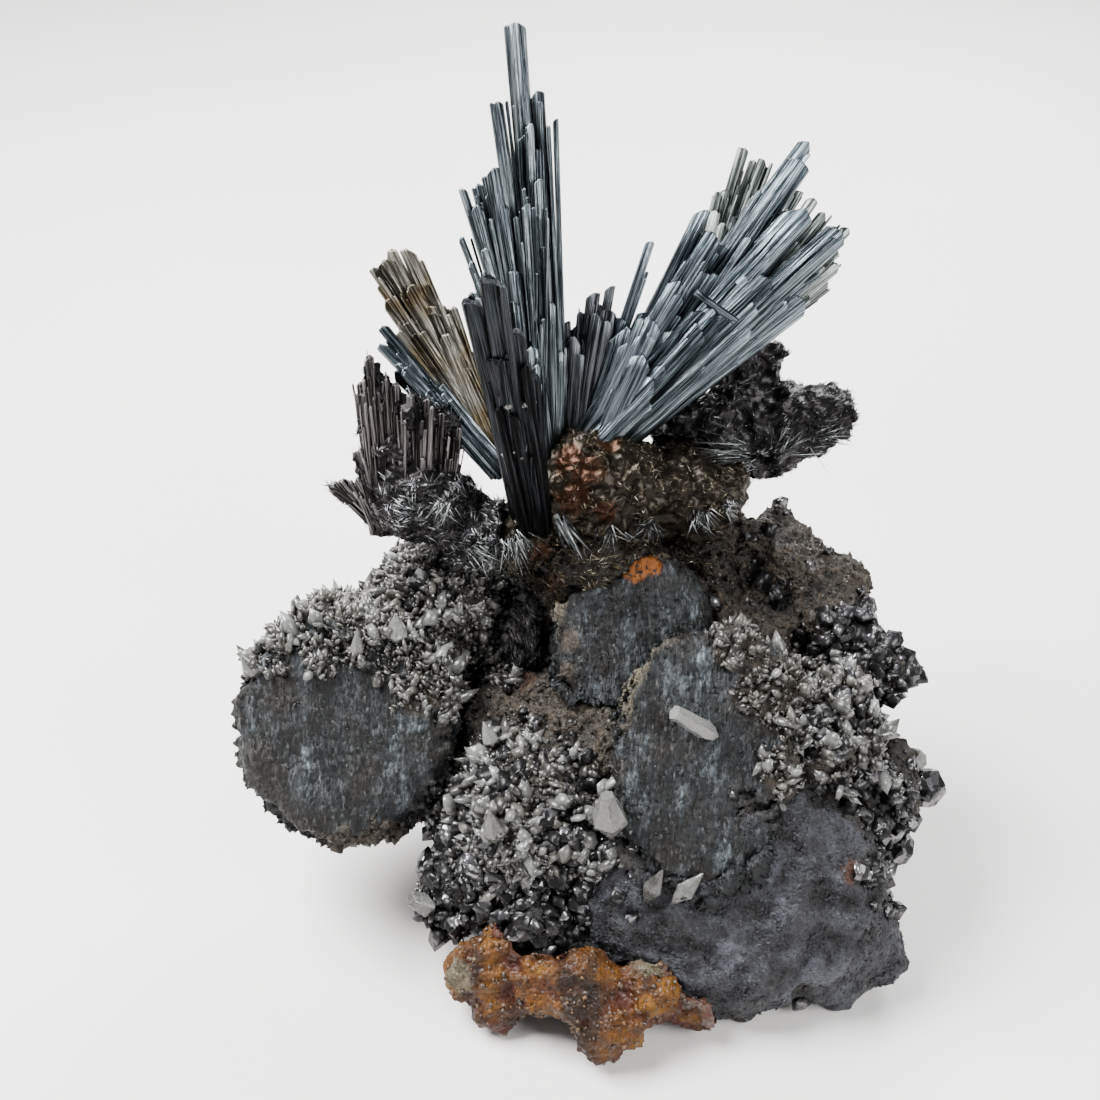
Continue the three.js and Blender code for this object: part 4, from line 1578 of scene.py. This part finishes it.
@dataclass
class RockAndCrusts:
    """The rock and all that grows on it as crust: plates, amber calcite and druses."""

    shapes: Shapes
    finishes: Finishes

    def rock(self) -> None:
        """Builds the host rock, with its grains, druses and dark blocky crystals."""
        bumps = [
            Bumps(Grain.CRACKED, 8.0, 2.6),
            Bumps(Grain.SOFT, 4.0, 1.5),
            Bumps(Grain.CRACKED, 2.6, 1.0),
            Bumps(Grain.ROUND, 1.4, -0.9),
            Bumps(Grain.ROUND, 0.7, -0.4),
        ]
        names = ("matrix_rock", "host_rock_body")
        rock = RoughPiece(*names, Slot.HOST_ROCK, 0.42, bumps, ROCK_PATCHES, 1.0, melt=Ground.CRUST)
        rock.build()
        rock.dress(self.finishes.rock)
        skin = Skin.of(rock.piece)
        cover = skin.covers
        bare = (1 - 0.95 * cover[Ground.CRUST]) * (1 - 0.9 * cover[Ground.FELT])
        proud = 1 - 0.85 * cover[Ground.PIT]
        teeth = cover[Ground.DRUSE] * proud * bare
        sugar = cover[Ground.SUGAR] * proud * bare * (0.25 + 1.6 * ragged(skin.centres, 4.5).clip(0))
        edge = cover[Ground.DRUSE] * (1.15 - cover[Ground.DRUSE]) * bare
        pale = bare * (0.15 + 1.3 * cover[Ground.EARTH] + cover[Ground.DRUSE])
        dark = 0.06 + 1.6 * cover[Ground.GLINT] + 0.6 * cover[Ground.SUGAR] + 0.1 * cover[Ground.DRUSE]
        rough = cover[Ground.CRUST] * (0.15 + ragged(skin.centres, 3.0).clip(0))
        dogtooth, block, grain = self.shapes.dogtooth, self.shapes.block, self.shapes.grain
        jobs = [
            ("rock_druse_teeth", Slot.CALCITE, dogtooth, 2400, (0.5, 1.6), (0.38, 0.6), 0.5, teeth),
            ("rock_sugar_teeth", Slot.CALCITE, dogtooth, 1100, (0.6, 1.8), (0.4, 0.65), 0.7, sugar),
            ("rock_sugar_blocks", Slot.CALCITE, block, 700, (0.4, 1.8), (0.55, 0.95), 0.8, sugar),
            ("rock_grains", Slot.HOST_ROCK, grain, 11000, (0.3, 1.3), (0.8, 1.2), 0.6, bare * proud),
            ("rock_pale_grains", Slot.CALCITE, grain, 1500, (0.25, 0.9), (0.7, 1.1), 0.7, pale),
            ("rock_dark_crystals", Slot.SPHALERITE, block, 2300, (0.4, 2.2), (0.7, 1.1), 0.9, bare * dark),
            ("crust_specks", Slot.CALCITE, grain, 160, (0.08, 0.2), (0.8, 1.1), 0.6, cover[Ground.CRUST]),
            ("crust_grains", Slot.HOST_ROCK, grain, 3000, (0.2, 0.7), (0.8, 1.2), 0.6, rough),
        ]
        dress = {
            Slot.CALCITE: self.finishes.druse,
            Slot.HOST_ROCK: self.finishes.rock,
            Slot.SPHALERITE: self.finishes.sphalerite,
        }
        for seed, (name, slot, shape, count, length, stout, lean, weight) in enumerate(jobs, 31):
            rise = 0.35 if shape is dogtooth else 0.0
            druse = Druse(name, slot, shape, count, length, stout, lean, 0.25, weight, rise)
            druse.grow(skin, dress[slot], seed)
        # The white rosettes are rarer on the right-hand slope.
        white = 0.5 * edge + sugar * (1 - 0.4 * (skin.centres[:, 0] > 20))
        rosettes = [
            ("rock_grey_rosettes", 1100, (0.9, 2.6), teeth + 0.6 * sugar, 5, self.finishes.druse),
            ("rock_white_rosettes", 520, (1.6, 3.8), white, 5, self.finishes.white),
            ("glint_white_crystals", 90, (0.8, 2.0), cover[Ground.GLINT] * bare, 3, self.finishes.white),
        ]
        for seed, (name, count, length, weight, cluster, material) in enumerate(rosettes, 401):
            stout, thick = (0.45, 0.75), (0.35, 0.75)
            crystal = (name, Slot.CALCITE, dogtooth, count, length, stout, 0.8, 0.25)
            Druse(*crystal, weight, 0.4, cluster, thick).grow(skin, material, seed)
        felt = Felt(
            "neck_felt", Slot.DARK_FIBRE, 7000, 260, (0.8, 2.6), (0.08, 0.17),
            weight=lambda ground: ground.covers[Ground.FELT],
        )
        felt.grow(skin, self.shapes.needle, self.finishes.felt, 39)

    def plates(self) -> None:
        """Builds the three crust plates and the druse on the left one."""
        bumps = [
            Bumps(Grain.SOFT, 6.0, 1.2),
            Bumps(Grain.CRACKED, 3.4, 1.6, Ground.RIM),
            Bumps(Grain.ROUND, 2.4, -2.8, Ground.RIM),
            Bumps(Grain.CRACKED, 2.0, 0.4),
            Bumps(Grain.CRACKED, 0.9, 0.4),
            Bumps(Grain.ROUND, 1.1, -1.1, Ground.RIM),
        ]
        left = [
            *patches(
                Ground.DRUSE, 4.4, (-36.8, 4.4, 33.5), (-29.7, 2.8, 34.8), (-22.9, 1.6, 34.4),
                (-18.5, 1.2, 33.2), (-33.4, 6.7, 35.9), (-26, 7, 36.5), (-38, 9, 31), (-30, 12, 33),
                (-22, 12, 32),
            ),
            *patches(Ground.DRUSE, 2.6, (-16.2, -1.7, 29.8), (-20.7, -1.1, 30.9)),
            *patches(Ground.EARTH, 2.6, (-28.6, -11, 15.5), (-24, -10, 16.5), (-19.5, -1.5, 30)),
            Patch(Ground.RUST, (-27, -10.5, 15.6), 1.0),
        ]
        rear = [
            *patches(Ground.RUST, 1.5, (6.1, 5.9, 43.2), (4.2, 5.4, 42.8)),
            *patches(Ground.EARTH, 1.3, (-2.8, 0.6, 36.8), (-3.4, -1.5, 34)),
        ]
        front = patches(
            Ground.EARTH, 3.6, (15.6, -1.8, 38.9), (21.1, -4.4, 35.4), (22, -7.6, 32.4), (18, -5.5, 35),
            (21, -11, 28.5),
        )
        jobs = [
            ("left_crust_plate", "left_plate", left, 0.82, self.finishes.crust),
            ("rear_crust_disc", "rear_disc", rear, 0.87, self.finishes.worn),
            ("front_crust_disc", "front_disc", front, 0.87, self.finishes.worn),
        ]
        for seed, (node, name, grounds, rim, finish) in enumerate(jobs, 41):
            plate = RoughPiece(node, name, Slot.GREY_CRUST, 0.36, bumps, grounds, 0.5, rim)
            plate.build()
            plate.dress(finish)
            if finish is self.finishes.worn:
                rims = plate.piece.data.attributes[Ground.RIM.value]
                height = plate.points()[:, 2]
                # Only the upper edge of a disc's rim is coloured pale.
                worn = np.clip((height - np.percentile(height, 60)) / 3, 0, 1)
                worn *= read(rims.data, "value", 1)[:, 0]
                rims.data.foreach_set("value", worn.astype(np.float32))
            skin = Skin.of(plate.piece)
            cover, flat = skin.covers, np.ones(len(skin.areas))
            grain, stout = self.shapes.grain, (0.8, 1.1)
            specks = Druse(f"{name}_specks", Slot.CALCITE, grain, 90, (0.08, 0.16), stout, 0.6, 0.3, flat)
            specks.grow(skin, self.finishes.druse, seed)
            rimmed = 0.2 + cover[Ground.RIM]
            crumb = (f"{name}_grains", Slot.GREY_CRUST, grain, 3600, (0.2, 0.7), stout)
            Druse(*crumb, 0.6, 0.3, rimmed).grow(skin, finish, seed + 10)
            on_left = node == "left_crust_plate"
            teeth = cover[Ground.DRUSE] if on_left else cover[Ground.EARTH] * (node == "front_crust_disc")
            if not teeth.any():
                continue
            share = 1 if on_left else 0.2
            crystals = [
                ("small_teeth", 2600, (0.5, 1.6), 0.5, teeth, 1, self.finishes.druse),
                ("rosettes", 1100, (0.9, 2.6), 0.75, teeth, 5, self.finishes.druse),
                ("large_rosettes", 200, (1.6, 4.2), 0.65, teeth * (1.12 - teeth), 3, self.finishes.white),
            ]
            for extra, (kind, count, length, lean, weight, cluster, material) in enumerate(crystals, 1):
                count = round(count * share)
                crystal = (f"{name}_{kind}", Slot.CALCITE, self.shapes.dogtooth, count, length)
                druse = Druse(*crystal, (0.38, 0.64), lean, 0.25, weight, 0.6, cluster, (0.4, 0.8))
                druse.grow(skin, material, seed + 10 + 10 * extra)
            if on_left:
                foot = cover[Ground.EARTH] * (skin.centres[:, 2] < 20)
                crumb = ("left_plate_nodules", Slot.HOST_ROCK, grain, 260, (0.8, 2.4), stout)
                Druse(*crumb, 0.6, 0.35, foot).grow(skin, self.finishes.rock, 59)

    def amber(self) -> None:
        """Builds the amber calcite round the foot."""
        bumps = [
            Bumps(Grain.ROUND, 3.8, -2.2),
            Bumps(Grain.ROUND, 1.6, -0.7),
            Bumps(Grain.CRACKED, 0.8, 0.3),
        ]
        grounds = [
            *patches(Ground.CRUST, 2.6, (5.6, -22, 11), (11.5, -21, 7.5), (-15, -22, 7)),
            # The red-brown patches, stored as rust, lie along the foot.
            *patches(Ground.RUST, 3, (1.2, -28, 1), (-10.6, -24.5, 1), (9, -25, 1.5), (13, -23, 2)),
        ]
        crust = RoughPiece("amber_calcite_crust", "amber_crust", Slot.AMBER, 0.4, bumps, grounds, 1.0)
        crust.build()
        crust.dress(self.finishes.amber)
        skin = Skin.of(crust.piece)
        Druse(
            "amber_grains", Slot.AMBER, self.shapes.block, 550, (0.2, 0.6), (0.7, 1.1), 0.7, 0.35,
            1 - 0.7 * skin.covers[Ground.PIT],
        ).grow(skin, self.finishes.honey, 61)
        Druse(
            "amber_specks", Slot.CALCITE, self.shapes.block, 70, (0.12, 0.28), (0.7, 1.0), 0.7, 0.3,
            np.ones(len(skin.areas)),
        ).grow(skin, self.finishes.white, 62)


@dataclass
class Needles:
    """The felts of fine needles: the mat on the neck, the wing, the stump and the column."""

    shapes: Shapes
    finishes: Finishes

    def bed(self, node: str, name: str, stains: list[Patch]) -> Skin:
        """Builds the dark mass that a felt grows from.

        Args:
            node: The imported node.
            name: The new piece's name.
            stains: Rust stains.

        Returns:
            Its skin.
        """
        bumps = [
            Bumps(Grain.CRACKED, 4.0, 2.0),
            Bumps(Grain.CRACKED, 1.8, 1.1),
            Bumps(Grain.ROUND, 0.9, -0.5),
        ]
        bed = RoughPiece(node, name, Slot.DARK_FIBRE, 0.4, bumps, stains, 0.7)
        bed.build()
        # Painted shade: the bed's tone drops in its pits, so they are darker.
        pits = read(bed.piece.data.attributes[Ground.PIT.value].data, "value", 1)[:, 0]
        store(bed.piece, "tone", 0.12 * (1 - pits))
        bed.dress(self.finishes.dark_felt if node != "needle_mat" else self.finishes.felt)
        return Skin.of(bed.piece)

    def build(self) -> None:
        """Builds all the felts."""
        needle, brown, dark = self.shapes.needle, self.finishes.felt, self.finishes.dark_felt
        stains = [
            *patches(Ground.RUST, 2.2, (-3.4, 10, 55), (-1.2, 8.7, 54), (-2.5, 7.5, 51)),
            *patches(Ground.RUST, 1.5, (1.5, 11.7, 56), (-6, 5.5, 45), (-4, 6, 43.5), (1, 6.5, 50)),
        ]
        mat = self.bed("needle_mat", "needle_mat_bed", stains)
        Felt("needle_mat_felt", Slot.DARK_FIBRE, 22000, 900, (0.5, 1.8), (0.06, 0.13), loose=0.5).grow(
            mat, needle, brown, 71
        )
        wing = self.bed("right_needle_wing", "needle_wing_bed", [])
        Felt(
            "needle_wing_felt", Slot.DARK_FIBRE, 20000, 300, (0.4, 1.7), (0.07, 0.15),
            out_from=(12, 18, 47), loose=0.15, tones=(0.12, 1.0),
        ).grow(wing, needle, dark, 72)
        stump = self.bed("left_blade_stump", "blade_stump_bed", [])
        Felt(
            "blade_stump_felt", Slot.DARK_FIBRE, 14000, 300, (0.5, 2.2), (0.1, 0.26),
            comb=(-0.2, -0.2, 0.5), loose=0.2,
            weight=lambda ground: np.where(ground.centres[:, 2] < 53, 1.0, 0.1),
        ).grow(stump, needle, dark, 73)
        column = self.bed("recess_fibre_column", "fibre_column_bed", [])
        Felt(
            "fibre_column_felt", Slot.DARK_FIBRE, 3500, 60, (1.0, 3.0), (0.1, 0.22),
            lift=0.1, comb=(0, 0, 2.4), tones=(0.0, 0.5),
        ).grow(column, needle, dark, 74)
        self.fans(needle, self.finishes.silver)

    def fans(self, shape: Shape, material: Material) -> None:
        """Lays the clean silver fans on the mat, the wing and the stump.

        Args:
            shape: One needle.
            material: Their material.
        """
        rng = np.random.default_rng(75)
        out = (0, -0.79, 0.62)
        fans = [
            NeedleFan((-9, 6.2, 47), (0.3, -0.65, -0.7), out, 3.8, 35),
            NeedleFan((-11, 6.0, 46.5), (-0.3, -0.6, -0.75), out, 3.0, 45),
            NeedleFan((-13.5, 5.6, 46), (0.9, -0.3, -0.3), out, 3.0, 35),
            NeedleFan((-4.2, 5.6, 50.5), (0.5, -0.55, -0.7), out, 5.5, 10, 22, (0.25, 0.5)),
            NeedleFan((11.4, 8.4, 48.5), (0.15, -0.62, -0.78), out, 2.4, 45),
            NeedleFan((14.5, 10.0, 48.5), (0.3, -0.6, -0.7), out, 1.8, 55),
            NeedleFan((17.5, 15.0, 52), (-0.95, -0.1, 0.1), out, 6.5, 22, 60),
            NeedleFan((18, 16.5, 49.8), (-0.9, -0.3, -0.3), out, 6.0, 26, 50),
            NeedleFan((21, 17.8, 50), (0.6, 0.1, 0.7), out, 4.5, 40, 50),
            NeedleFan((25, 18.4, 51.5), (0.7, 0, 0.5), out, 4.0, 50, 40),
            NeedleFan((1.5, 6.6, 48), (0.2, -0.6, -0.75), out, 3.0, 60, 40),
            NeedleFan((6, 7.4, 48), (-0.2, -0.6, -0.75), out, 3.0, 60, 40),
            NeedleFan((-16.5, 6.4, 51), (-0.1, -0.6, -0.8), out, 2.4, 60, 60),
            NeedleFan((-20, 6.2, 50), (-0.5, -0.3, 0.6), out, 2.4, 60, 60),
        ]
        feet, along, sizes = (np.concatenate(parts) for parts in zip(*(fan.needles(rng) for fan in fans)))
        tones = rng.random(len(feet)) ** 1.4
        axes = axes_along(along, rng)
        piece = swarm("silver_needle_fans", shape, feet, axes, sizes, tones, rust=0 * tones)
        deliver(piece, Slot.DARK_FIBRE, material)


# Each row is one blade, or a few grown together, as the class Sheaf describes it.
CENTRAL_ROWS = (
    (0.6, -2, 0, -5.4, 45.8, 2.0, 1.5),
    (1.6, -2, 0.4, -3.2, 38.9, 1.7, 1.4),
    (0.1, -2, 0.5, -7, 38.1, 1.6, 1.3),
    (-0.7, -2, -0.8, -9.5, 31.4, 1.6, 1.2),
    (-0.5, -2, 0.9, -11.5, 30.6, 1.3, 1.2),
    (-0.3, -2, 0.6, -13.6, 30.1, 1.2, 1.2),
    (-0.2, -2, 0, -15.8, 30.1, 1.1, 1.1),
    (0, -2, 0.6, -20.9, 25.3, 0.9, 0.9),
    (-0.6, -2, -0.3, -19.3, 22.4, 1.0, 1.0),
    (0.4, -2, -1.5, -1.5, 30.0, 1.3, 1.0),
    (-0.3, -2, -1.0, -2.8, 35.6, 1.2, 1.0),
    (-0.4, -2, -2.2, -4.5, 12.4, 1.8, 1.2),
    (-1.4, -2, -1.6, -6, 20.5, 1.5, 1.0),
)
SHORT_ROWS = (
    (-3.7, -2, 1.2, -2.4, 14.4, 1.2, 1.2),
    (-3.5, -2, 1.0, 3.7, 15.6, 1.4, 1.2),
    (-3.2, -2, 0.6, 6.2, 17.8, 1.6, 1.4),
    (-2.4, -2, 1.0, 9.1, 18.6, 1.3, 1.2),
)
FAN_ROWS = (
    (-2.6, -2, 0.6, 18, 24.4, 1.2, 1.0),
    (-1.9, -2, 0, 24.3, 29.3, 1.8, 1.3),
    (-3.4, -2, -0.8, 32.1, 28.5, 2.4, 1.4),
    (-2.1, -2, 1.0, 34.2, 28.0, 1.6, 1.3),
    (-0.5, -2, 0.2, 33, 38.1, 3.0, 1.6),
    (-3.1, -2, 1.6, 36.4, 41.6, 2.0, 1.2),
    (-1.6, -2, 0.4, 38.4, 33.6, 3.0, 1.5),
    (-2.6, -2, -1.2, 41.7, 35.9, 3.6, 1.5),
    (-0.7, -2, -0.6, 46.3, 35.5, 3.4, 1.5),
    (0.9, -2, 0.8, 49, 28.4, 1.4, 1.2),
    (-2.9, -2, 1.2, 51.6, 33.7, 1.6, 1.2),
    (-2.7, -2, -2.2, 40.9, 21.8, 1.7, 1.2),
    (-0.9, -2, -1.8, 22.2, 16.3, 2.6, 1.4),
    (9.6, 16.3, -2.2, 127, 5.5, 0.8, 0.7),
)
BRONZE_ROWS = (
    (-0.2, -2, 0, -21.8, 25.6, 1.8, 1.4),
    (-0.2, -2, 0.2, -26, 26.2, 1.9, 1.4),
    (0.7, -2, -0.3, -32.4, 25.9, 1.7, 1.4),
    (0.6, -2, -0.6, -35.2, 22.3, 1.6, 1.2),
    (0.3, -2, 0.6, -23.7, 19.6, 1.5, 1.2),
    (0.1, -2, 0.9, -17.1, 18.0, 1.2, 1.2),
)
STEEL_ROWS = (
    (0, -1, 0, -37.9, 20.5, 1.5, 1.3),
    (0.3, -1, -0.5, -42, 19.5, 1.5, 1.3),
    (0, -1, -0.9, -42, 16.5, 1.3, 1.2),
    (0.2, -1, -1.3, -40, 13.0, 1.2, 1.1),
)
STUMP_ROWS = (
    (-4.3, -2, 0.3, -3, 17.6, 1.0, 1.0),
    (-3.6, -2, 0, -2.2, 20.8, 1.1, 1.0),
    (-2.6, -2, 0.5, -1.5, 19.0, 1.0, 1.0),
    (-1.7, -2, 0, 0, 17.6, 1.2, 1.2),
    (-0.5, -2, -0.5, 1.5, 16.6, 1.0, 1.0),
    (0.9, -2, 0, 3, 16.0, 1.1, 1.0),
    (2.3, -2, 0.2, 5, 14.4, 1.0, 1.0),
    (3.5, -2, 0.3, 7, 12.6, 1.1, 1.0),
    (-3.8, -1, -0.8, -13, 9.5, 1.0, 1.0),
    (-4, -0.8, -0.5, -46, 7.0, 1.0, 1.0),
    (0, -2, 1.8, 3, 14.0, 1.4, 1.4),
)
FRONT_ROWS = (
    (-0.9, 0, 0, -4.7, 36.3, 2.6, 1.8),
    (-1.6, 0, 0.4, -6.6, 33.7, 2.2, 1.6),
    (0.3, 0, 0.2, -5.2, 29.8, 2.6, 1.6),
    (0.9, 0, 0.6, -4.1, 24.0, 2.2, 1.6),
    (-0.5, 0, -0.9, -5.3, 27.0, 2.6, 1.3),
)
REAR_ROWS = (
    (0.2, 0, 0, 15.1, 29.7, 1.4, 1.2),
    (0.5, 0, 0.5, 17.6, 28.7, 1.3, 1.2),
    (0.6, 0, 0, 19.5, 29.0, 1.4, 1.2),
    (-0.3, 0, -0.4, 15.3, 25.1, 1.4, 1.2),
    (0.8, 0, 0.7, 23, 26.5, 1.5, 1.2),
    (0.6, 0, 0.4, 28, 27.5, 1.5, 1.2),
    (0.4, 0, 0.8, 33, 28.0, 1.5, 1.2),
)
FRINGE_ROWS = (
    (0.4, 0, 1.2, 38, 27.5, 1.4, 0.8),
    (0.4, 0, 1.4, 43, 28.0, 1.6, 0.8),
    (0.4, 0, 1.2, 47, 25.5, 1.4, 0.8),
    (0.4, 0, 1.5, 51, 22.5, 1.5, 0.8),
)
BACK_ROWS = (
    (-1.5, 0, 0, -15, 19.0, 2.0, 1.5),
    (-0.6, 0, 0.5, -10, 22.0, 2.0, 1.5),
    (0, 0, -0.4, -6, 20.0, 1.8, 1.5),
    (0.8, 0, 0.6, 6, 9.5, 2.0, 1.6),
    (1.6, 0, 0, 18, 11.0, 2.0, 1.6),
    (2.4, 0, 0.5, 33, 16.0, 2.2, 1.5),
    (3.0, 0, 0, 39, 19.0, 2.2, 1.5),
    (3.6, 0, -0.5, 45, 16.0, 2.0, 1.5),
)


@dataclass
class Blades:
    """Every sheaf of blades, from the tall central spray to the short one at the back."""

    shapes: Shapes
    finishes: Finishes

    def build(self) -> None:
        """Builds the sheaves."""
        dress = self.finishes
        near, far, level = (0.42, 0.97), (0.6, 1.0), (0.75, 1.0)
        spray, fan, stump, rear = (-5.5, 15.5, 54), (1, 15.5, 54), (-20, 9.8, 47), (8, 19, 55)
        bronze, lower, front, back = (-10.5, 15, 53), (-10.5, 13, 52), (-6.5, 8.5, 46), (-4, 18, 52)
        jobs = [
            ("central_blade_spray", "central_spray", spray, 20, CENTRAL_ROWS, (120, 150), (0.8, 1.7), near),
            ("right_blade_fan", "large_fan", fan, 20, FAN_ROWS, (150, 170), (1.4, 3.2), near),
            ("", "short_dark_blades", fan, 20, SHORT_ROWS, (50, 60), (0.9, 1.8), far),
            ("bronze_blade_sheaf", "bronze_sheaf", bronze, 20, BRONZE_ROWS, (70, 90), (0.9, 2.0), far),
            ("steel_blade_sheaf", "lower_sheaf", lower, 20, STEEL_ROWS, (50, 80), (0.8, 1.6), far),
            ("front_blades", "front_blades_group", front, -12, FRONT_ROWS, (18, 20), (1.2, 2.4), near),
            ("rear_blade_cluster", "rear_cluster", rear, 24, REAR_ROWS, (90, 140), (0.7, 1.7), far),
            ("", "rear_fringe", rear, 24, FRINGE_ROWS, (70, 160), (0.7, 1.8), level),
            ("back_blade_sheaf", "back_sheaf", back, 45, BACK_ROWS, (60, 80), (0.8, 1.8), near),
            ("", "stump_blades", stump, 12, STUMP_ROWS, (260, 420), (0.3, 0.9), (0.5, 1.0)),
        ]
        # The front blades take the stibnite whose near-black is a painted dark reflection.
        materials = [
            dress.steel, dress.blue, dress.dull, dress.bronze, dress.blue, dress.dark_reflection, dress.bright,
            dress.bright, dress.steel, dress.purple,
        ]
        slots = {"bronze_sheaf": Slot.BRONZE, "stump_blades": Slot.DARK_FIBRE}
        for seed, (job, material) in enumerate(zip(jobs, materials), 81):
            node, name, root, lean_back, rows, lesser, broad, reach = job
            slot = slots.get(name, Slot.STEEL)
            sheaf = Sheaf(node, name, slot, root, lean_back, rows, *lesser, broad, reach)
            piece = sheaf.build(self.shapes.lath, material, seed)
            if node == "front_blades":
                self.front_grains(Skin.of(piece))

    def front_grains(self, skin: Skin) -> None:
        """Grows a few white grains part way up the front blades.

        Args:
            skin: The front blades' skin.
        """
        band = np.abs(skin.centres[:, 2] - 63) < 5
        weight = ((skin.normals[:, 1] < -0.4) & band).astype(float)
        grain = ("front_blade_grains", Slot.CALCITE, self.shapes.block, 16, (0.35, 1.0), (0.7, 1.0))
        Druse(*grain, 0.5, 0.2, weight).grow(skin, self.finishes.white, 95)


@dataclass
class Crystals:
    """The single calcite and sphalerite crystals."""

    finishes: Finishes

    def build(self) -> None:
        """Builds them all."""
        for number, node in enumerate(sorted(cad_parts)):
            tone = (0.37 * number) % 1
            if node.startswith("calcite_"):
                SingleCrystal(node, Slot.CALCITE, 0.12, 0.12, 1.2).build(self.finishes.white, tone)
            elif node.startswith("sphalerite_"):
                SingleCrystal(node, Slot.SPHALERITE, 0.15, 0.15, 1.0).build(self.finishes.sphalerite, tone)


def main() -> None:
    logging.basicConfig(level=logging.INFO, format="%(message)s")
    shapes, finishes = Shapes(), Finishes()
    matrix = RockAndCrusts(shapes, finishes)
    matrix.rock()
    matrix.plates()
    matrix.amber()
    Needles(shapes, finishes).build()
    Blades(shapes, finishes).build()
    Crystals(finishes).build()
    Studio().build()
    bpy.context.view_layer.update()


if __name__ == "__main__":
    main()
